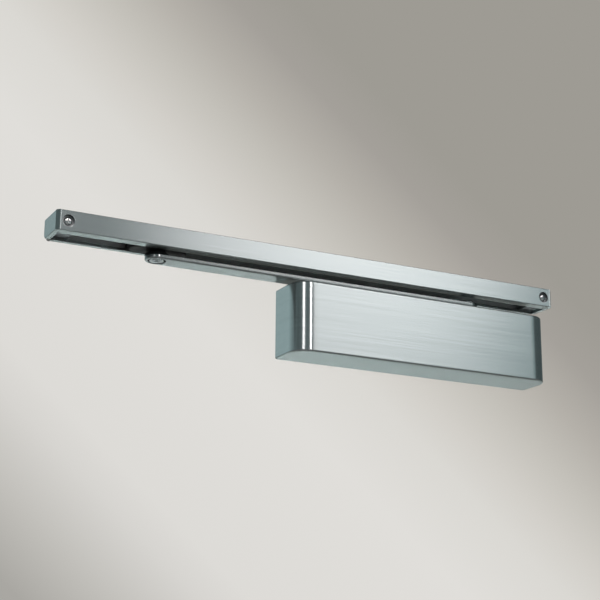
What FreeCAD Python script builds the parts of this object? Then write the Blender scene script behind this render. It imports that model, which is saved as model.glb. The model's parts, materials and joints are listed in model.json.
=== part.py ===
import FreeCAD, Part
import math
import os

# Slide arm door closer: a closer unit for the door leaf, its straight arm and the guide rail for the frame.
# Sizes are in millimetres. X runs along the door with the hinges at +X, Y runs back into the door and
# Z points up. The origin lies on the door's face, behind the middle of the closer unit.

# Cover
cover_length = 238.8
cover_height = 56.4
cover_depth = 37.4
cover_wall = 1.2
cover_corner = 15.4
cover_edge = 1.4
cover_least_inner_edge = 0.1
catch_height = 0.9
catch_width = 1.0
catch_length = 16.0
catch_to_door = 12.0
way_in_margin = 1.5

# Spindle, cam and rollers
spindle_to_end = 48.0
spindle_to_door = 18.8
cam_height = 10.0
cam_seat_radius = 10.8
cam_lift = 8.8
cam_points_per_flank = 14
roller_radius = 5.0
roller_pin_radius = 2.3
cheek_wall = 2.0
neck_radius = 6.0
journal_radius = 8.0
square_size = 9.0
square_start_above_cover = 2.7
spindle_thread_radius = 3.0
spindle_thread_depth = 15.0
spindle_thread_margin = 2.0

# Closer body
flange_inset = 7.4
flange_inset_z = 4.2
flange_thickness = 6.0
flange_corner = 6.0
barrel_inset_left = 12.0
barrel_inset_right = 14.0
bore_radius = 13.0
barrel_wall = 3.3
boss_wall = 1.9
boss_inset = 1.7
bearing_radius = 11.0
fixing_inset_x = 6.0
fixing_inset_z = 8.0
fixing_hole_radius = 2.75
valve_block_length = 36.0
valve_block_depth = 13.0
valve_to_door = 6.5
valve_edge = 5.5
valve_radius = 2.5
valve_length = 24.0
valve_slot_width = 0.9
valve_slot_depth = 1.4
valve_head_inset = 0.5
valve_needle_length = 6.0
valve_needle_tip = 0.6
valve_ring_thickness = 1.0
valve_ring_inset = 5.5

# Glands, bearings, seals and end plugs
bearing_chamfer = 0.8
shaft_seal_length = 3.4
shaft_seal_wall = 1.0
shaft_seal_groove = 2.0
gland_lip = 1.0
spanner_hole_radius = 1.2
spanner_hole_depth = 2.5
spanner_hole_edge = 1.9
lower_plug_thickness = 4.2
lower_plug_slot = 14.0
lower_plug_slot_width = 2.0
lower_plug_slot_depth = 1.0
lower_ring_thickness = 1.6
lower_ring_rise = 0.4
end_plug_thickness = 10.0
end_plug_socket = 10.0
end_plug_socket_depth = 4.5
end_plug_spanner_offset = 9.5
end_ring_inset = 3.0
ring_thickness = 1.96
groove_extra = 0.5
adjuster_radius = 4.0
adjuster_collar_radius = 7.0
adjuster_collar_thickness = 2.5
adjuster_inset = 1.0
adjuster_margin = 4.0
adjuster_socket = 5.0
adjuster_socket_depth = 6.0

# Pistons and springs
pin_end_inset = 1.0
roller_chamfer = 0.5
drive_piston_skirt = 24.0
drive_piston_rim = 2.5
drive_piston_pocket = 4.0
damping_piston_back = 7.0
damping_recess_radius = 7.4
damping_recess_floor = 1.3
spring_seat_thickness = 8.0
spring_seat_plate = 3.0
spring_seat_gap = 0.5
spring_seat_travel = 12.0
main_spring_wire = 4.2
main_spring_turns = 11
damping_spring_wire = 1.4
damping_spring_turns = 3
check_ball_radius = 2.0
check_ball_play = 0.15
check_port_radius = 1.0
check_retainer_length = 1.2
check_offset_z = 9.9
check_depth = 5.6

# Arm
arm_centres = 279.0
arm_width = 16.8
arm_thickness = 3.6
arm_eye_radius = 9.4
arm_edge = 0.8
arm_screw_head_radius = 5.5
arm_screw_head = 2.0
arm_screw_socket = 4.0
arm_screw_socket_depth = 1.4
arm_screw_head_round = 0.5
arm_washer_play = 0.2
arm_washer_radius = 6.6
arm_washer_thickness = 1.0
clip_recess_radius = 6.9
clip_recess_depth = 1.3
clip_radius = 5.4
clip_thickness = 0.8
clip_gap = 1.5
clip_lug_width = 1.9
clip_lug_reach = 6.2
bush_wall = 1.2

# Slider and its pin
pin_radius = 4.0
pin_groove = 0.8
pin_head_radius = 6.5
pin_head = 2.0
pin_end_round = 0.4
pin_centre_radius = 1.1
pin_centre_depth = 1.5
thrust_washer_thickness = 1.5
thrust_washer_round = 0.3
slider_length = 45.6
slider_head_height = 6.5
slider_head_corner = 4.0
slider_neck_radius = 6.5

# Guide rail
rail_length = 440.0
rail_depth = 30.0
rail_height = 15.8
rail_end_to_pivot = 84.8
rail_above_screw = 0.5
frame_step = 6.0
rail_wall = 2.2
slot_width = 17.2
cap_thickness = 3.5
cap_chamfer = 2.5
cap_back_edge = 0.8
cap_low_corner = 5.0
rail_low_corner = 2.0
cap_spigot = 1.0
rail_block_length = 12.0
rail_screw_inset = 9.2
access_radius = 4.6
rail_screw_radius = 2.1
rail_screw_head_radius = 3.0
rail_screw_head = 2.6
rail_screw_neck_radius = 1.8
rail_screw_neck_beyond = 0.6
rail_screw_reach = 22.0
rail_screw_tip = 4.0
rail_screw_proud = 1.2
rail_screw_head_round = 1.3
rail_screw_cross = 3.4
rail_screw_cross_width = 1.0
rail_screw_cross_depth = 1.5

# Cover clips
clip_strip = 1.0
clip_height = 14.0
clip_foot_inner = 4.6
clip_foot_outer = 5.4
clip_shoulder_inset = 1.2
clip_shoulder_rise = 2.0
clip_hook_inset = 0.8
clip_hook_reach = 4.0
clip_tip_inset = 4.0
clip_tip_reach = 8.6
clip_screw_radius = 1.7
clip_screw_head_radius = 3.0
clip_screw_head = 1.9
clip_screw_head_round = 0.9
clip_screw_slot_width = 0.8
clip_screw_slot_depth = 0.8
clip_screw_tip = 1.0

# Clearances
press = 0.02
running = 0.05
fitting = 0.05
loose = 0.3
pocket_margin = 0.4
roller_margin = 0.6
gland_margin = 0.5
bearing_margin = 0.2

# Places that follow from the sizes above
cover_top = cover_height / 2
flange_length = cover_length - 2 * flange_inset
flange_height = cover_height - 2 * flange_inset_z
valve_offset_z = flange_height / 2 - valve_edge
fixing_spacing_x = flange_length - 2 * fixing_inset_x
fixing_spacing_z = flange_height - 2 * fixing_inset_z
barrel_left = -flange_length / 2 + barrel_inset_left
barrel_right = flange_length / 2 - barrel_inset_right
spindle_x = barrel_right - spindle_to_end
spindle_y = -spindle_to_door
half_cam = cam_height / 2
cam_clearance = roller_radius + running
cam_rise_per_radian = cam_lift / math.pi
cam_nose_radius = cam_seat_radius + cam_lift
pocket_radius = cam_nose_radius - roller_radius + pocket_margin
boss_radius = pocket_radius + boss_wall
barrel_radius = bore_radius + barrel_wall
drive_pin_x = spindle_x - cam_seat_radius
damping_pin_x = spindle_x + cam_nose_radius
cheek_reach = roller_pin_radius + cheek_wall
roller_room = roller_radius + roller_margin
gland_bottom = bore_radius + gland_margin
boss_top = cover_top - boss_inset
bearing_start = gland_bottom + bearing_margin
bearing_end = boss_top - gland_lip - fitting - shaft_seal_length - loose
lower_plug_top = -boss_top + lower_plug_thickness
square_start = cover_top + square_start_above_cover
arm_bottom = square_start
arm_top = arm_bottom + arm_thickness
pivot_x = spindle_x - arm_centres
rail_left = pivot_x - rail_end_to_pivot
slot_front = spindle_y - slot_width / 2
rail_front = -frame_step - rail_depth
rail_bottom = arm_top + arm_washer_thickness + arm_screw_head + rail_above_screw
rail_top = rail_bottom + rail_height
rail_right = rail_left + rail_length
slider_bottom = rail_bottom + fitting
slider_head_bottom = rail_bottom + rail_wall + loose
slider_width = slot_width - 2 * loose
channel_front = rail_front + rail_wall
channel_back = -frame_step - rail_wall
end_plug_left = barrel_left + end_plug_thickness
end_plug_right = barrel_right - end_plug_thickness

os.makedirs("parts", exist_ok=True)


def vec(x, y, z):
    return FreeCAD.Vector(x, y, z)


def box(x0, x1, y0, y1, z0, z1):
    """Block between two corners."""
    return Part.makeBox(x1 - x0, y1 - y0, z1 - z0, vec(x0, y0, z0))


def rod_x(radius, x0, x1, y=spindle_y, z=0.0):
    """Round bar along X."""
    return Part.makeCylinder(radius, x1 - x0, vec(x0, y, z), vec(1, 0, 0))


def rod_y(radius, y0, y1, x, z):
    """Round bar along Y."""
    return Part.makeCylinder(radius, y1 - y0, vec(x, y0, z), vec(0, 1, 0))


def rod_z(radius, z0, z1, x=spindle_x, y=spindle_y):
    """Round bar along Z."""
    return Part.makeCylinder(radius, z1 - z0, vec(x, y, z0), vec(0, 0, 1))


def edges_where(shape, test):
    """Edges whose bounding box passes the test."""
    return [edge for edge in shape.Edges if test(edge.BoundBox)]


def along_z(box_of_edge, x, y):
    """True for an upright edge at the given place in plan."""
    upright = box_of_edge.ZLength > 1 and box_of_edge.XLength < 0.01 and box_of_edge.YLength < 0.01
    return upright and abs(box_of_edge.XMin - x) < 0.01 and abs(box_of_edge.YMin - y) < 0.01


def at_height(box_of_edge, z):
    """True for an edge that lies flat at the given height."""
    return box_of_edge.ZLength < 0.01 and abs(box_of_edge.ZMin - z) < 0.01


def stadium(length, width, z0, z1, x, y):
    """Bar with full round ends, centred on x and y."""
    straight = (length - width) / 2
    bar = box(x - straight, x + straight, y - width / 2, y + width / 2, z0, z1)
    ends = [rod_z(width / 2, z0, z1, x - straight, y), rod_z(width / 2, z0, z1, x + straight, y)]
    return bar.fuse(ends).removeSplitter()


def strip(points, thickness, z0, z1):
    """Bent strip of even thickness that follows a line of points in plan."""
    sides = ([], [])
    for i, point in enumerate(points):
        before = (point - points[i - 1]).normalize() if i > 0 else None
        after = (points[i + 1] - point).normalize() if i < len(points) - 1 else None
        first = before or after
        second = after or before
        normals = [vec(-d.y, d.x, 0) for d in (first, second)]
        mitre = (normals[0] + normals[1]).normalize()
        reach = thickness / 2 / mitre.dot(normals[0])
        sides[0].append(point + mitre * reach)
        sides[1].append(point - mitre * reach)
    outline = sides[0] + sides[1][::-1]
    outline = [vec(p.x, p.y, z0) for p in outline + outline[:1]]
    return Part.Face(Part.makePolygon(outline)).extrude(vec(0, 0, z1 - z0))


def biarc(p0, t0, p1, t1):
    """Two arcs that join p0 to p1 and leave along the directions t0 and t1."""
    run = p1 - p0
    both = t0 + t1
    a = 2 * (1 - t0.dot(t1))
    b = 2 * run.dot(both)
    reach = (-b + math.sqrt(b * b + 4 * a * run.dot(run))) / (2 * a)
    q0 = p0 + t0 * reach
    q1 = p1 - t1 * reach
    joint = (q0 + q1) * 0.5
    arcs = []
    for start, corner, end in ((p0, q0, joint), (joint, q1, p1)):
        middle = (start + end) * 0.5
        half = (end - start).Length / 2
        quarter_turn = math.acos(half / (corner - start).Length) / 2
        crest = middle + (corner - middle).normalize() * (half * math.tan(quarter_turn))
        arcs.append(Part.Arc(start, crest, end).toShape())
    return arcs


def coil_spring(name, x0, x1, mean_radius, wire, turns):
    """Compression spring along X, one wire on quarter turn biarcs, between two end planes."""
    first = x0 + wire / 2
    last = x1 - wire / 2
    pitch = (last - first) / turns
    steps = 4 * turns
    rise = pitch / (2 * math.pi)
    points = []
    directions = []
    for i in range(steps + 1):
        turn = 2 * math.pi * i / 4
        points.append(vec(first + rise * turn, spindle_y + mean_radius * math.cos(turn),
                          mean_radius * math.sin(turn)))
        direction = vec(rise, -mean_radius * math.sin(turn), mean_radius * math.cos(turn))
        directions.append(direction.normalize())
    arcs = []
    for i in range(steps):
        arcs += biarc(points[i], directions[i], points[i + 1], directions[i + 1])
    section = Part.Wire(Part.makeCircle(wire / 2, points[0], directions[0]))
    print(name, "least gap between turns", round(least_gap(arcs, turns) - wire, 2), "mm")
    return Part.Wire(arcs).makePipeShell([section], True, False)


def least_gap(arcs, turns):
    """Least distance between points of a coil's centre line that lie half a turn or more apart."""
    points = []
    for arc in arcs:
        points += arc.discretize(5)[:-1]
    half_turn = len(points) // turns // 2
    least = math.inf
    for i, point in enumerate(points):
        for other in points[i + half_turn:]:
            least = min(least, (other - point).Length)
    return least


def rubber_ring(centre, axis, outer_radius, thickness):
    """Rubber ring about an axis, its section an octagon round the circle of the real one."""
    half = thickness / 2
    side = half * math.tan(math.pi / 8)
    across = vec(0, 1, 0) if axis.x else vec(1, 0, 0)
    middle = centre + across * (outer_radius - half)
    corners = [(half, side), (side, half), (-side, half), (-half, side),
               (-half, -side), (-side, -half), (side, -half), (half, -side)]
    points = [middle + axis * along + across * out for along, out in corners]
    section = Part.Face(Part.makePolygon(points + points[:1]))
    return section.revolve(centre, axis, 360)


def ring_x(x, outer_radius):
    """Rubber ring about the bore's axis that touches the given outer radius."""
    return rubber_ring(vec(x, spindle_y, 0), vec(1, 0, 0), outer_radius, ring_thickness)


def groove_x(x, outer_radius):
    """Space to cut for such a ring in a round bar of that radius."""
    width = ring_thickness + groove_extra
    band = rod_x(outer_radius + 1, x - width / 2, x + width / 2)
    return band.cut(rod_x(outer_radius - ring_thickness - fitting, x - width / 2, x + width / 2))


def make_closer_body():
    """Casting: flange for the door, barrel with the piston bore, spindle boss and three valve blocks."""
    half = flange_length / 2
    flange = box(-half, half, -flange_thickness, 0, -flange_height / 2, flange_height / 2)
    corners = edges_where(flange, lambda b: b.YLength > 1)
    body = flange.makeFillet(flange_corner, corners)
    barrel = rod_x(barrel_radius, barrel_left, barrel_right)
    web = box(barrel_left, barrel_right, spindle_y, -1, -barrel_radius, barrel_radius)
    boss = rod_z(boss_radius, -boss_top, boss_top)
    boss_foot = box(spindle_x - boss_radius, spindle_x + boss_radius, spindle_y, 0, -boss_top, boss_top)
    right_block = box(barrel_right - valve_block_length, barrel_right, -valve_block_depth, 0,
                      -flange_height / 2, flange_height / 2)
    left_block = box(barrel_left, barrel_left + valve_block_length, -valve_block_depth, 0,
                     0, flange_height / 2)
    body = body.fuse([barrel, web, boss, boss_foot, right_block, left_block]).removeSplitter()
    cuts = [
        rod_x(bore_radius, barrel_left - 1, barrel_right + 1),
        rod_z(pocket_radius, -half_cam - loose, boss_top + 1),
        rod_z(bearing_radius, -boss_top - 1, 0),
    ]
    for x in (-fixing_spacing_x / 2, fixing_spacing_x / 2):
        cuts.append(rod_y(clip_screw_radius, -flange_thickness - 1, 1, x, 0))
        for z in (-fixing_spacing_z / 2, fixing_spacing_z / 2):
            cuts.append(rod_y(fixing_hole_radius, -flange_thickness - 1, 1, x, z))
    for x0, x1, z in valve_places():
        cuts.append(rod_x(valve_radius + fitting, x0, x1, -valve_to_door, z))
    return body.cut(cuts)


def valve_places():
    """Bore ends and height of the sweep, latch and backcheck valves."""
    depth = valve_length + loose
    return [
        (barrel_right - depth, barrel_right + 1, valve_offset_z),
        (barrel_right - depth, barrel_right + 1, -valve_offset_z),
        (barrel_left - 1, barrel_left + depth, valve_offset_z),
    ]


def make_cover():
    """Sheet metal cover, open towards the door, with a way in for the spindle in its top wall."""
    half = cover_length / 2

    def block(inset, height, back):
        body = box(-half + inset, half - inset, -cover_depth + inset, back, -height / 2, height / 2)
        fronts = edges_where(body, lambda b: along_z(b, -half + inset, -cover_depth + inset)
                             or along_z(b, half - inset, -cover_depth + inset))
        return body.makeFillet(cover_corner - inset, fronts)

    outer = block(0, cover_height, 0)
    rims = edges_where(outer, lambda b: (at_height(b, cover_top) or at_height(b, -cover_top))
                       and b.YMin < -0.01)
    outer = outer.makeFillet(cover_edge, rims)
    room = block(cover_wall, cover_height - 2 * cover_wall, 1)
    room_top = cover_top - cover_wall
    inner_rims = edges_where(room, lambda b: (at_height(b, room_top) or at_height(b, -room_top))
                             and b.YMin < 0.99)
    room = room.makeFillet(max(cover_edge - cover_wall, cover_least_inner_edge), inner_rims)
    cover = outer.cut(room)
    slot = journal_radius + way_in_margin
    way_in = rod_z(slot, 0, cover_top + 1).fuse(
        box(spindle_x - slot, spindle_x + slot, spindle_y, 1, 0, cover_top + 1))
    cover = cover.cut(way_in)
    catches = []
    for side in (-1, 1):
        wall = side * (half - cover_wall)
        tip = wall - side * catch_height
        x0, x1 = sorted((wall + side * cover_wall / 2, tip))
        catches.append(box(x0, x1, -catch_to_door - catch_width, -catch_to_door,
                           -catch_length / 2, catch_length / 2))
    return cover.fuse(catches)


def make_cover_clips():
    """Two spring strips that hold the cover at its ends."""
    clips = []
    base = -flange_thickness - clip_strip / 2
    wall = cover_length / 2 - cover_wall
    foot = fixing_spacing_x / 2
    for side in (-1, 1):
        line = [
            vec(side * (foot - clip_foot_inner), base, 0),
            vec(side * (foot + clip_foot_outer), base, 0),
            vec(side * (wall - catch_height - clip_shoulder_inset), clip_shoulder_rise - catch_to_door, 0),
            vec(side * (wall - clip_hook_inset), -catch_to_door - catch_width - clip_hook_reach, 0),
            vec(side * (wall - clip_tip_inset), -catch_to_door - catch_width - clip_tip_reach, 0),
        ]
        leaf = strip(line, clip_strip, -clip_height / 2, clip_height / 2)
        hole = rod_y(clip_screw_radius + fitting, base - 1, base + 1, side * foot, 0)
        clips.append(leaf.cut(hole))
    return Part.makeCompound(clips)


def make_clip_screws():
    """Pan head screws through the clips into the flange."""
    screws = []
    seat = -flange_thickness - clip_strip
    top = seat - clip_screw_head
    for side in (-1, 1):
        x = side * fixing_spacing_x / 2
        head = rod_y(clip_screw_head_radius, top, seat, x, 0)
        head = head.makeFillet(clip_screw_head_round, edges_where(head, lambda b: abs(b.YMax - top) < 0.01))
        shank = rod_y(clip_screw_radius - press, seat, -clip_screw_tip, x, 0)
        half = clip_screw_slot_width / 2
        slot = box(x - half, x + half, top - 1, top + clip_screw_slot_depth,
                   -clip_screw_head_radius - 1, clip_screw_head_radius + 1)
        screws.append(head.fuse(shank).cut(slot))
    return Part.makeCompound(screws)


def make_spring_end_plug():
    """Screwed plug at the spring end, with the way in for the adjuster."""
    plug = rod_x(bore_radius - fitting, barrel_left, end_plug_left)
    plug = plug.cut(rod_x(adjuster_radius + running, barrel_left - 1, end_plug_left + 1))
    for z in (-end_plug_spanner_offset, end_plug_spanner_offset):
        hole = rod_x(spanner_hole_radius, barrel_left - 1, barrel_left + spanner_hole_depth, spindle_y, z)
        plug = plug.cut(hole)
    return plug.cut(groove_x(end_plug_left - end_ring_inset, bore_radius - fitting))


def make_damping_end_plug():
    """Screwed plug at the damping end, with a hexagon socket."""
    plug = rod_x(bore_radius - fitting, end_plug_right, barrel_right)
    socket = hexagon_x(end_plug_socket, barrel_right - end_plug_socket_depth, barrel_right + 1)
    return plug.cut([socket, groove_x(end_plug_right + end_ring_inset, bore_radius - fitting)])


def make_end_plug_seals():
    """Rubber rings in the end plugs."""
    outer = bore_radius - press
    return Part.makeCompound([ring_x(end_plug_left - end_ring_inset, outer),
                              ring_x(end_plug_right + end_ring_inset, outer)])


def hexagon_x(across, x0, x1, y=spindle_y, z=0.0):
    """Hexagonal bar along X."""
    corner = across / math.sqrt(3)
    points = [vec(x0, y + corner * math.cos(math.pi * i / 3), z + corner * math.sin(math.pi * i / 3))
              for i in range(7)]
    return Part.Face(Part.makePolygon(points)).extrude(vec(x1 - x0, 0, 0))


def hexagon_z(across, z0, z1, x=spindle_x, y=spindle_y):
    """Hexagonal bar along Z."""
    corner = across / math.sqrt(3)
    points = [vec(x + corner * math.cos(math.pi * i / 3), y + corner * math.sin(math.pi * i / 3), z0)
              for i in range(7)]
    return Part.Face(Part.makePolygon(points)).extrude(vec(0, 0, z1 - z0))


def make_upper_gland():
    """Screwed ring that carries the upper bearing and seal and closes the boss."""
    gland = rod_z(pocket_radius - fitting, gland_bottom, boss_top)
    gland = gland.cut([
        rod_z(bearing_radius + fitting, gland_bottom - 1, boss_top - gland_lip),
        rod_z(journal_radius + loose, gland_bottom, boss_top + 1),
    ])
    ring = pocket_radius - spanner_hole_edge
    for angle in (0, math.pi / 2, math.pi, 3 * math.pi / 2):
        x = spindle_x + ring * math.cos(angle)
        y = spindle_y + ring * math.sin(angle)
        gland = gland.cut(rod_z(spanner_hole_radius, boss_top - spanner_hole_depth, boss_top + 1, x, y))
    return gland


def bearing(z0):
    """Drawn needle bearing: a thin turned-in cup ring round the spindle."""
    z1 = z0 + bearing_end - bearing_start
    ring = rod_z(bearing_radius, z0, z1)
    ring = ring.makeChamfer(bearing_chamfer, edges_where(ring, lambda b: b.ZLength < 0.01))
    return ring.cut(rod_z(journal_radius + running, z0 - 1, z1 + 1))


def make_upper_bearing():
    return bearing(bearing_start)


def make_lower_bearing():
    return bearing(-bearing_end)


def make_upper_shaft_seal():
    """Lip seal above the upper bearing."""
    z1 = boss_top - gland_lip - fitting
    z0 = z1 - shaft_seal_length
    seal = rod_z(bearing_radius, z0, z1).cut(rod_z(journal_radius + running, z0 - 1, z1 + 1))
    floor = z0 + shaft_seal_groove
    groove = rod_z(bearing_radius - shaft_seal_wall, z0 - 1, floor)
    groove = groove.cut(rod_z(journal_radius + shaft_seal_wall, z0 - 1, floor))
    return seal.cut(groove)


def make_lower_plug():
    """Blind plug under the lower bearing."""
    plug = rod_z(bearing_radius - fitting, -boss_top, lower_plug_top)
    z = lower_ring_height()
    half = (lower_ring_thickness + groove_extra) / 2
    groove = rod_z(bearing_radius + 1, z - half, z + half)
    groove = groove.cut(rod_z(bearing_radius - lower_ring_thickness - fitting, z - half, z + half))
    slot = box(spindle_x - lower_plug_slot / 2, spindle_x + lower_plug_slot / 2,
               spindle_y - lower_plug_slot_width / 2, spindle_y + lower_plug_slot_width / 2,
               -boss_top - 1, -boss_top + lower_plug_slot_depth)
    return plug.cut([groove, slot])


def lower_ring_height():
    """Height of the blind plug's ring, a little above the plug's middle because of its slot."""
    return (lower_plug_top - boss_top) / 2 + lower_ring_rise


def make_lower_plug_seal():
    """Rubber ring in the blind plug."""
    centre = vec(spindle_x, spindle_y, lower_ring_height())
    return rubber_ring(centre, vec(0, 0, 1), bearing_radius - press, lower_ring_thickness)


def cam_flank(sign):
    """Flank of the heart cam, offset inwards by the roller from a path whose radius grows with the angle."""
    k = cam_rise_per_radian

    def point(angle):
        radius = cam_seat_radius + k * angle
        length = math.hypot(radius, k)
        out = ((k * math.sin(angle) + radius * math.cos(angle)) / length,
               (radius * math.sin(angle) - k * math.cos(angle)) / length)
        x = radius * math.cos(angle) - cam_clearance * out[0]
        y = radius * math.sin(angle) - cam_clearance * out[1]
        return x, y

    low, high = math.pi / 2, math.pi
    for _ in range(40):
        middle = (low + high) / 2
        if point(middle)[1] > 0:
            low = middle
        else:
            high = middle
    last = low
    points = []
    for i in range(cam_points_per_flank + 1):
        x, y = point(last * i / cam_points_per_flank)
        points.append(vec(spindle_x - x, spindle_y - sign * y, -half_cam))
    points[-1].y = spindle_y
    curve = Part.BSplineCurve()
    curve.interpolate(points)
    return curve.toShape(), points[0]


def make_cam_shaft():
    """Spindle and heart cam in one piece, with a square for the arm above the cover."""
    left, left_start = cam_flank(1)
    right, right_start = cam_flank(-1)
    seat_bottom = vec(spindle_x - cam_seat_radius + cam_clearance, spindle_y, -half_cam)
    seat = Part.Arc(left_start, seat_bottom, right_start).toShape()
    outline = Part.Wire(Part.__sortEdges__([left, seat, right]))
    cam = Part.Face(outline).extrude(vec(0, 0, cam_height))
    neck_end = (gland_bottom + bearing_start) / 2
    half = square_size / 2
    square_top = arm_top - loose
    shaft = cam.fuse([
        rod_z(neck_radius, -neck_end, -half_cam),
        rod_z(neck_radius, half_cam, neck_end),
        rod_z(journal_radius, -bearing_end - loose, -neck_end),
        rod_z(journal_radius, neck_end, square_start),
        box(spindle_x - half, spindle_x + half, spindle_y - half, spindle_y + half, square_start, square_top),
    ])
    thread = rod_z(spindle_thread_radius, square_top - spindle_thread_depth, square_top + 1)
    return shaft.cut(thread)


def make_slide_arm():
    """Flat steel bar with a square hole for the spindle and an eye with a recess for the pin's clip."""
    bar = box(pivot_x, spindle_x, spindle_y - arm_width / 2, spindle_y + arm_width / 2, arm_bottom, arm_top)
    hub = rod_z(arm_width / 2, arm_bottom, arm_top)
    eye = rod_z(arm_eye_radius, arm_bottom, arm_top, pivot_x)
    arm = bar.fuse([hub, eye]).removeSplitter()
    rims = edges_where(arm, lambda b: b.ZLength < 0.01)
    arm = arm.makeFillet(arm_edge, rims)
    half = square_size / 2 + fitting
    square = box(spindle_x - half, spindle_x + half, spindle_y - half, spindle_y + half,
                 arm_bottom - 1, arm_top + 1)
    bush = rod_z(pin_radius + bush_wall, arm_bottom - 1, arm_top + 1, pivot_x)
    recess = rod_z(clip_recess_radius, arm_bottom - 1, arm_bottom + clip_recess_depth, pivot_x)
    return arm.cut([square, bush, recess])


def make_arm_washer():
    """Washer under the head of the arm's screw."""
    top = arm_top + arm_washer_thickness
    hole = rod_z(spindle_thread_radius + arm_washer_play, arm_top - 1, top + 1)
    return rod_z(arm_washer_radius, arm_top, top).cut(hole)


def make_arm_screw():
    """Low head socket screw that clamps the arm on the spindle."""
    seat = arm_top + arm_washer_thickness
    top = seat + arm_screw_head
    head = rod_z(arm_screw_head_radius, seat, top)
    head = head.makeFillet(arm_screw_head_round, edges_where(head, lambda b: at_height(b, top)))
    bottom = arm_top - spindle_thread_depth + spindle_thread_margin
    shank = rod_z(spindle_thread_radius - fitting, bottom, seat)
    socket = hexagon_z(arm_screw_socket, top - arm_screw_socket_depth, top + 1)
    return head.fuse(shank).cut(socket)


def make_arm_bush():
    """Plastic bush in the arm's eye, with the washer that carries the slider."""
    bottom = arm_bottom + clip_recess_depth
    top = arm_top + thrust_washer_thickness
    bush = rod_z(pin_radius + bush_wall - press, bottom, arm_top, pivot_x)
    washer = rod_z(arm_eye_radius, arm_top, top, pivot_x)
    washer = washer.makeFillet(thrust_washer_round, edges_where(washer, lambda b: at_height(b, top)))
    return bush.fuse(washer).cut(rod_z(pin_radius + running, bottom - 1, top + 1, pivot_x))


def make_slider_block():
    """Plastic slider: a long foot in the slot, a wider head in the channel and a round neck to the arm."""
    neck_bottom = arm_top + thrust_washer_thickness + running
    foot = stadium(slider_length, slider_width, slider_bottom, slider_head_bottom, pivot_x, spindle_y)
    half_width = (channel_back - channel_front) / 2 - loose
    middle = (channel_back + channel_front) / 2
    top = slider_head_bottom + slider_head_height
    half = slider_length / 2
    head = box(pivot_x - half, pivot_x + half, middle - half_width, middle + half_width,
               slider_head_bottom, top)
    head = head.makeFillet(slider_head_corner, edges_where(head, lambda b: b.ZLength > 1))
    neck = rod_z(slider_neck_radius, neck_bottom, slider_bottom, pivot_x)
    slider = foot.fuse([head, neck]).removeSplitter()
    hole = rod_z(pin_radius, neck_bottom - 1, top + 1, pivot_x)
    recess = rod_z(pin_head_radius + fitting, top - pin_head, top + 1, pivot_x)
    return slider.cut([hole, recess])


def make_pivot_pin():
    """Steel pin through slider and arm, with a groove for the clip."""
    top = slider_head_bottom + slider_head_height
    bottom = arm_bottom + fitting
    pin = rod_z(pin_radius - press, bottom, top - pin_head, pivot_x)
    pin = pin.makeFillet(pin_end_round, edges_where(pin, lambda b: at_height(b, bottom)))
    head = rod_z(pin_head_radius, top - pin_head, top, pivot_x)
    z0 = clip_bottom()
    groove = rod_z(pin_radius + 1, z0 - press, z0 + clip_thickness + press, pivot_x)
    groove = groove.cut(rod_z(pin_radius - pin_groove, z0 - 1, z0 + clip_thickness + 1, pivot_x))
    centre = rod_z(pin_centre_radius, bottom - 1, bottom + pin_centre_depth, pivot_x)
    return pin.fuse(head).cut([groove, centre])


def clip_bottom():
    """Height of the retaining clip's lower face, just inside the arm's recess."""
    return arm_bottom + clip_recess_depth - clip_thickness - 2 * fitting


def make_retaining_clip():
    """Spring clip in the pin's groove, with two lugs at its opening."""
    z0 = clip_bottom()
    z1 = z0 + clip_thickness
    ring = rod_z(clip_radius, z0, z1, pivot_x)
    half_gap = clip_gap / 2
    lugs = []
    for side in (-1, 1):
        x0, x1 = sorted((pivot_x + side * half_gap, pivot_x + side * (half_gap + clip_lug_width)))
        lugs.append(box(x0, x1, spindle_y - clip_lug_reach, spindle_y - pin_radius, z0, z1))
    ring = ring.fuse(lugs)
    hole = rod_z(pin_radius - pin_groove + fitting, z0 - 1, z1 + 1, pivot_x)
    gap = box(pivot_x - half_gap, pivot_x + half_gap, spindle_y - clip_radius - 1, spindle_y, z0 - 1, z1 + 1)
    return ring.cut([hole, gap]).removeSplitter()


def low_back_edge(box_of_edge):
    """True for the long edge along the rail's back at its underside."""
    return box_of_edge.YMin > -frame_step - 0.01 and box_of_edge.ZMax < rail_bottom + 0.01


def make_guide_rail():
    """Extruded guide rail: a C section, open downwards along its slot, with holes for the screws."""
    x0 = rail_left + cap_thickness
    x1 = rail_right - cap_thickness
    outer = box(x0, x1, rail_front, -frame_step, rail_bottom, rail_top)
    outer = outer.makeFillet(rail_low_corner, edges_where(outer, low_back_edge))
    channel = box(x0 - 1, x1 + 1, channel_front, channel_back, rail_bottom + rail_wall, rail_top - rail_wall)
    slot = box(x0 - 1, x1 + 1, slot_front, slot_front + slot_width,
               rail_bottom - 1, rail_bottom + rail_wall + 1)
    rail = outer.cut([channel, slot])
    z = rail_bottom + rail_height / 2
    for side in (-1, 1):
        _, _, x = rail_end(side)
        rail = rail.cut(rod_y(access_radius, rail_front - 1, channel_front + 1, x, z))
        rail = rail.cut(rod_y(rail_screw_radius + loose, channel_back - 1, 1 - frame_step, x, z))
    return rail


def rail_end(side):
    """Outer end, cap face and screw centre at one end of the rail; side is -1 at the left."""
    end = rail_left if side < 0 else rail_right
    return end, end - side * cap_thickness, end - side * rail_screw_inset


def channel_plug(x0, x1):
    """Block that fills the rail's channel between two places."""
    x0, x1 = sorted((x0, x1))
    return box(x0, x1, channel_front + fitting, channel_back - fitting,
               rail_bottom + rail_wall + fitting, rail_top - rail_wall - fitting)


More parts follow.
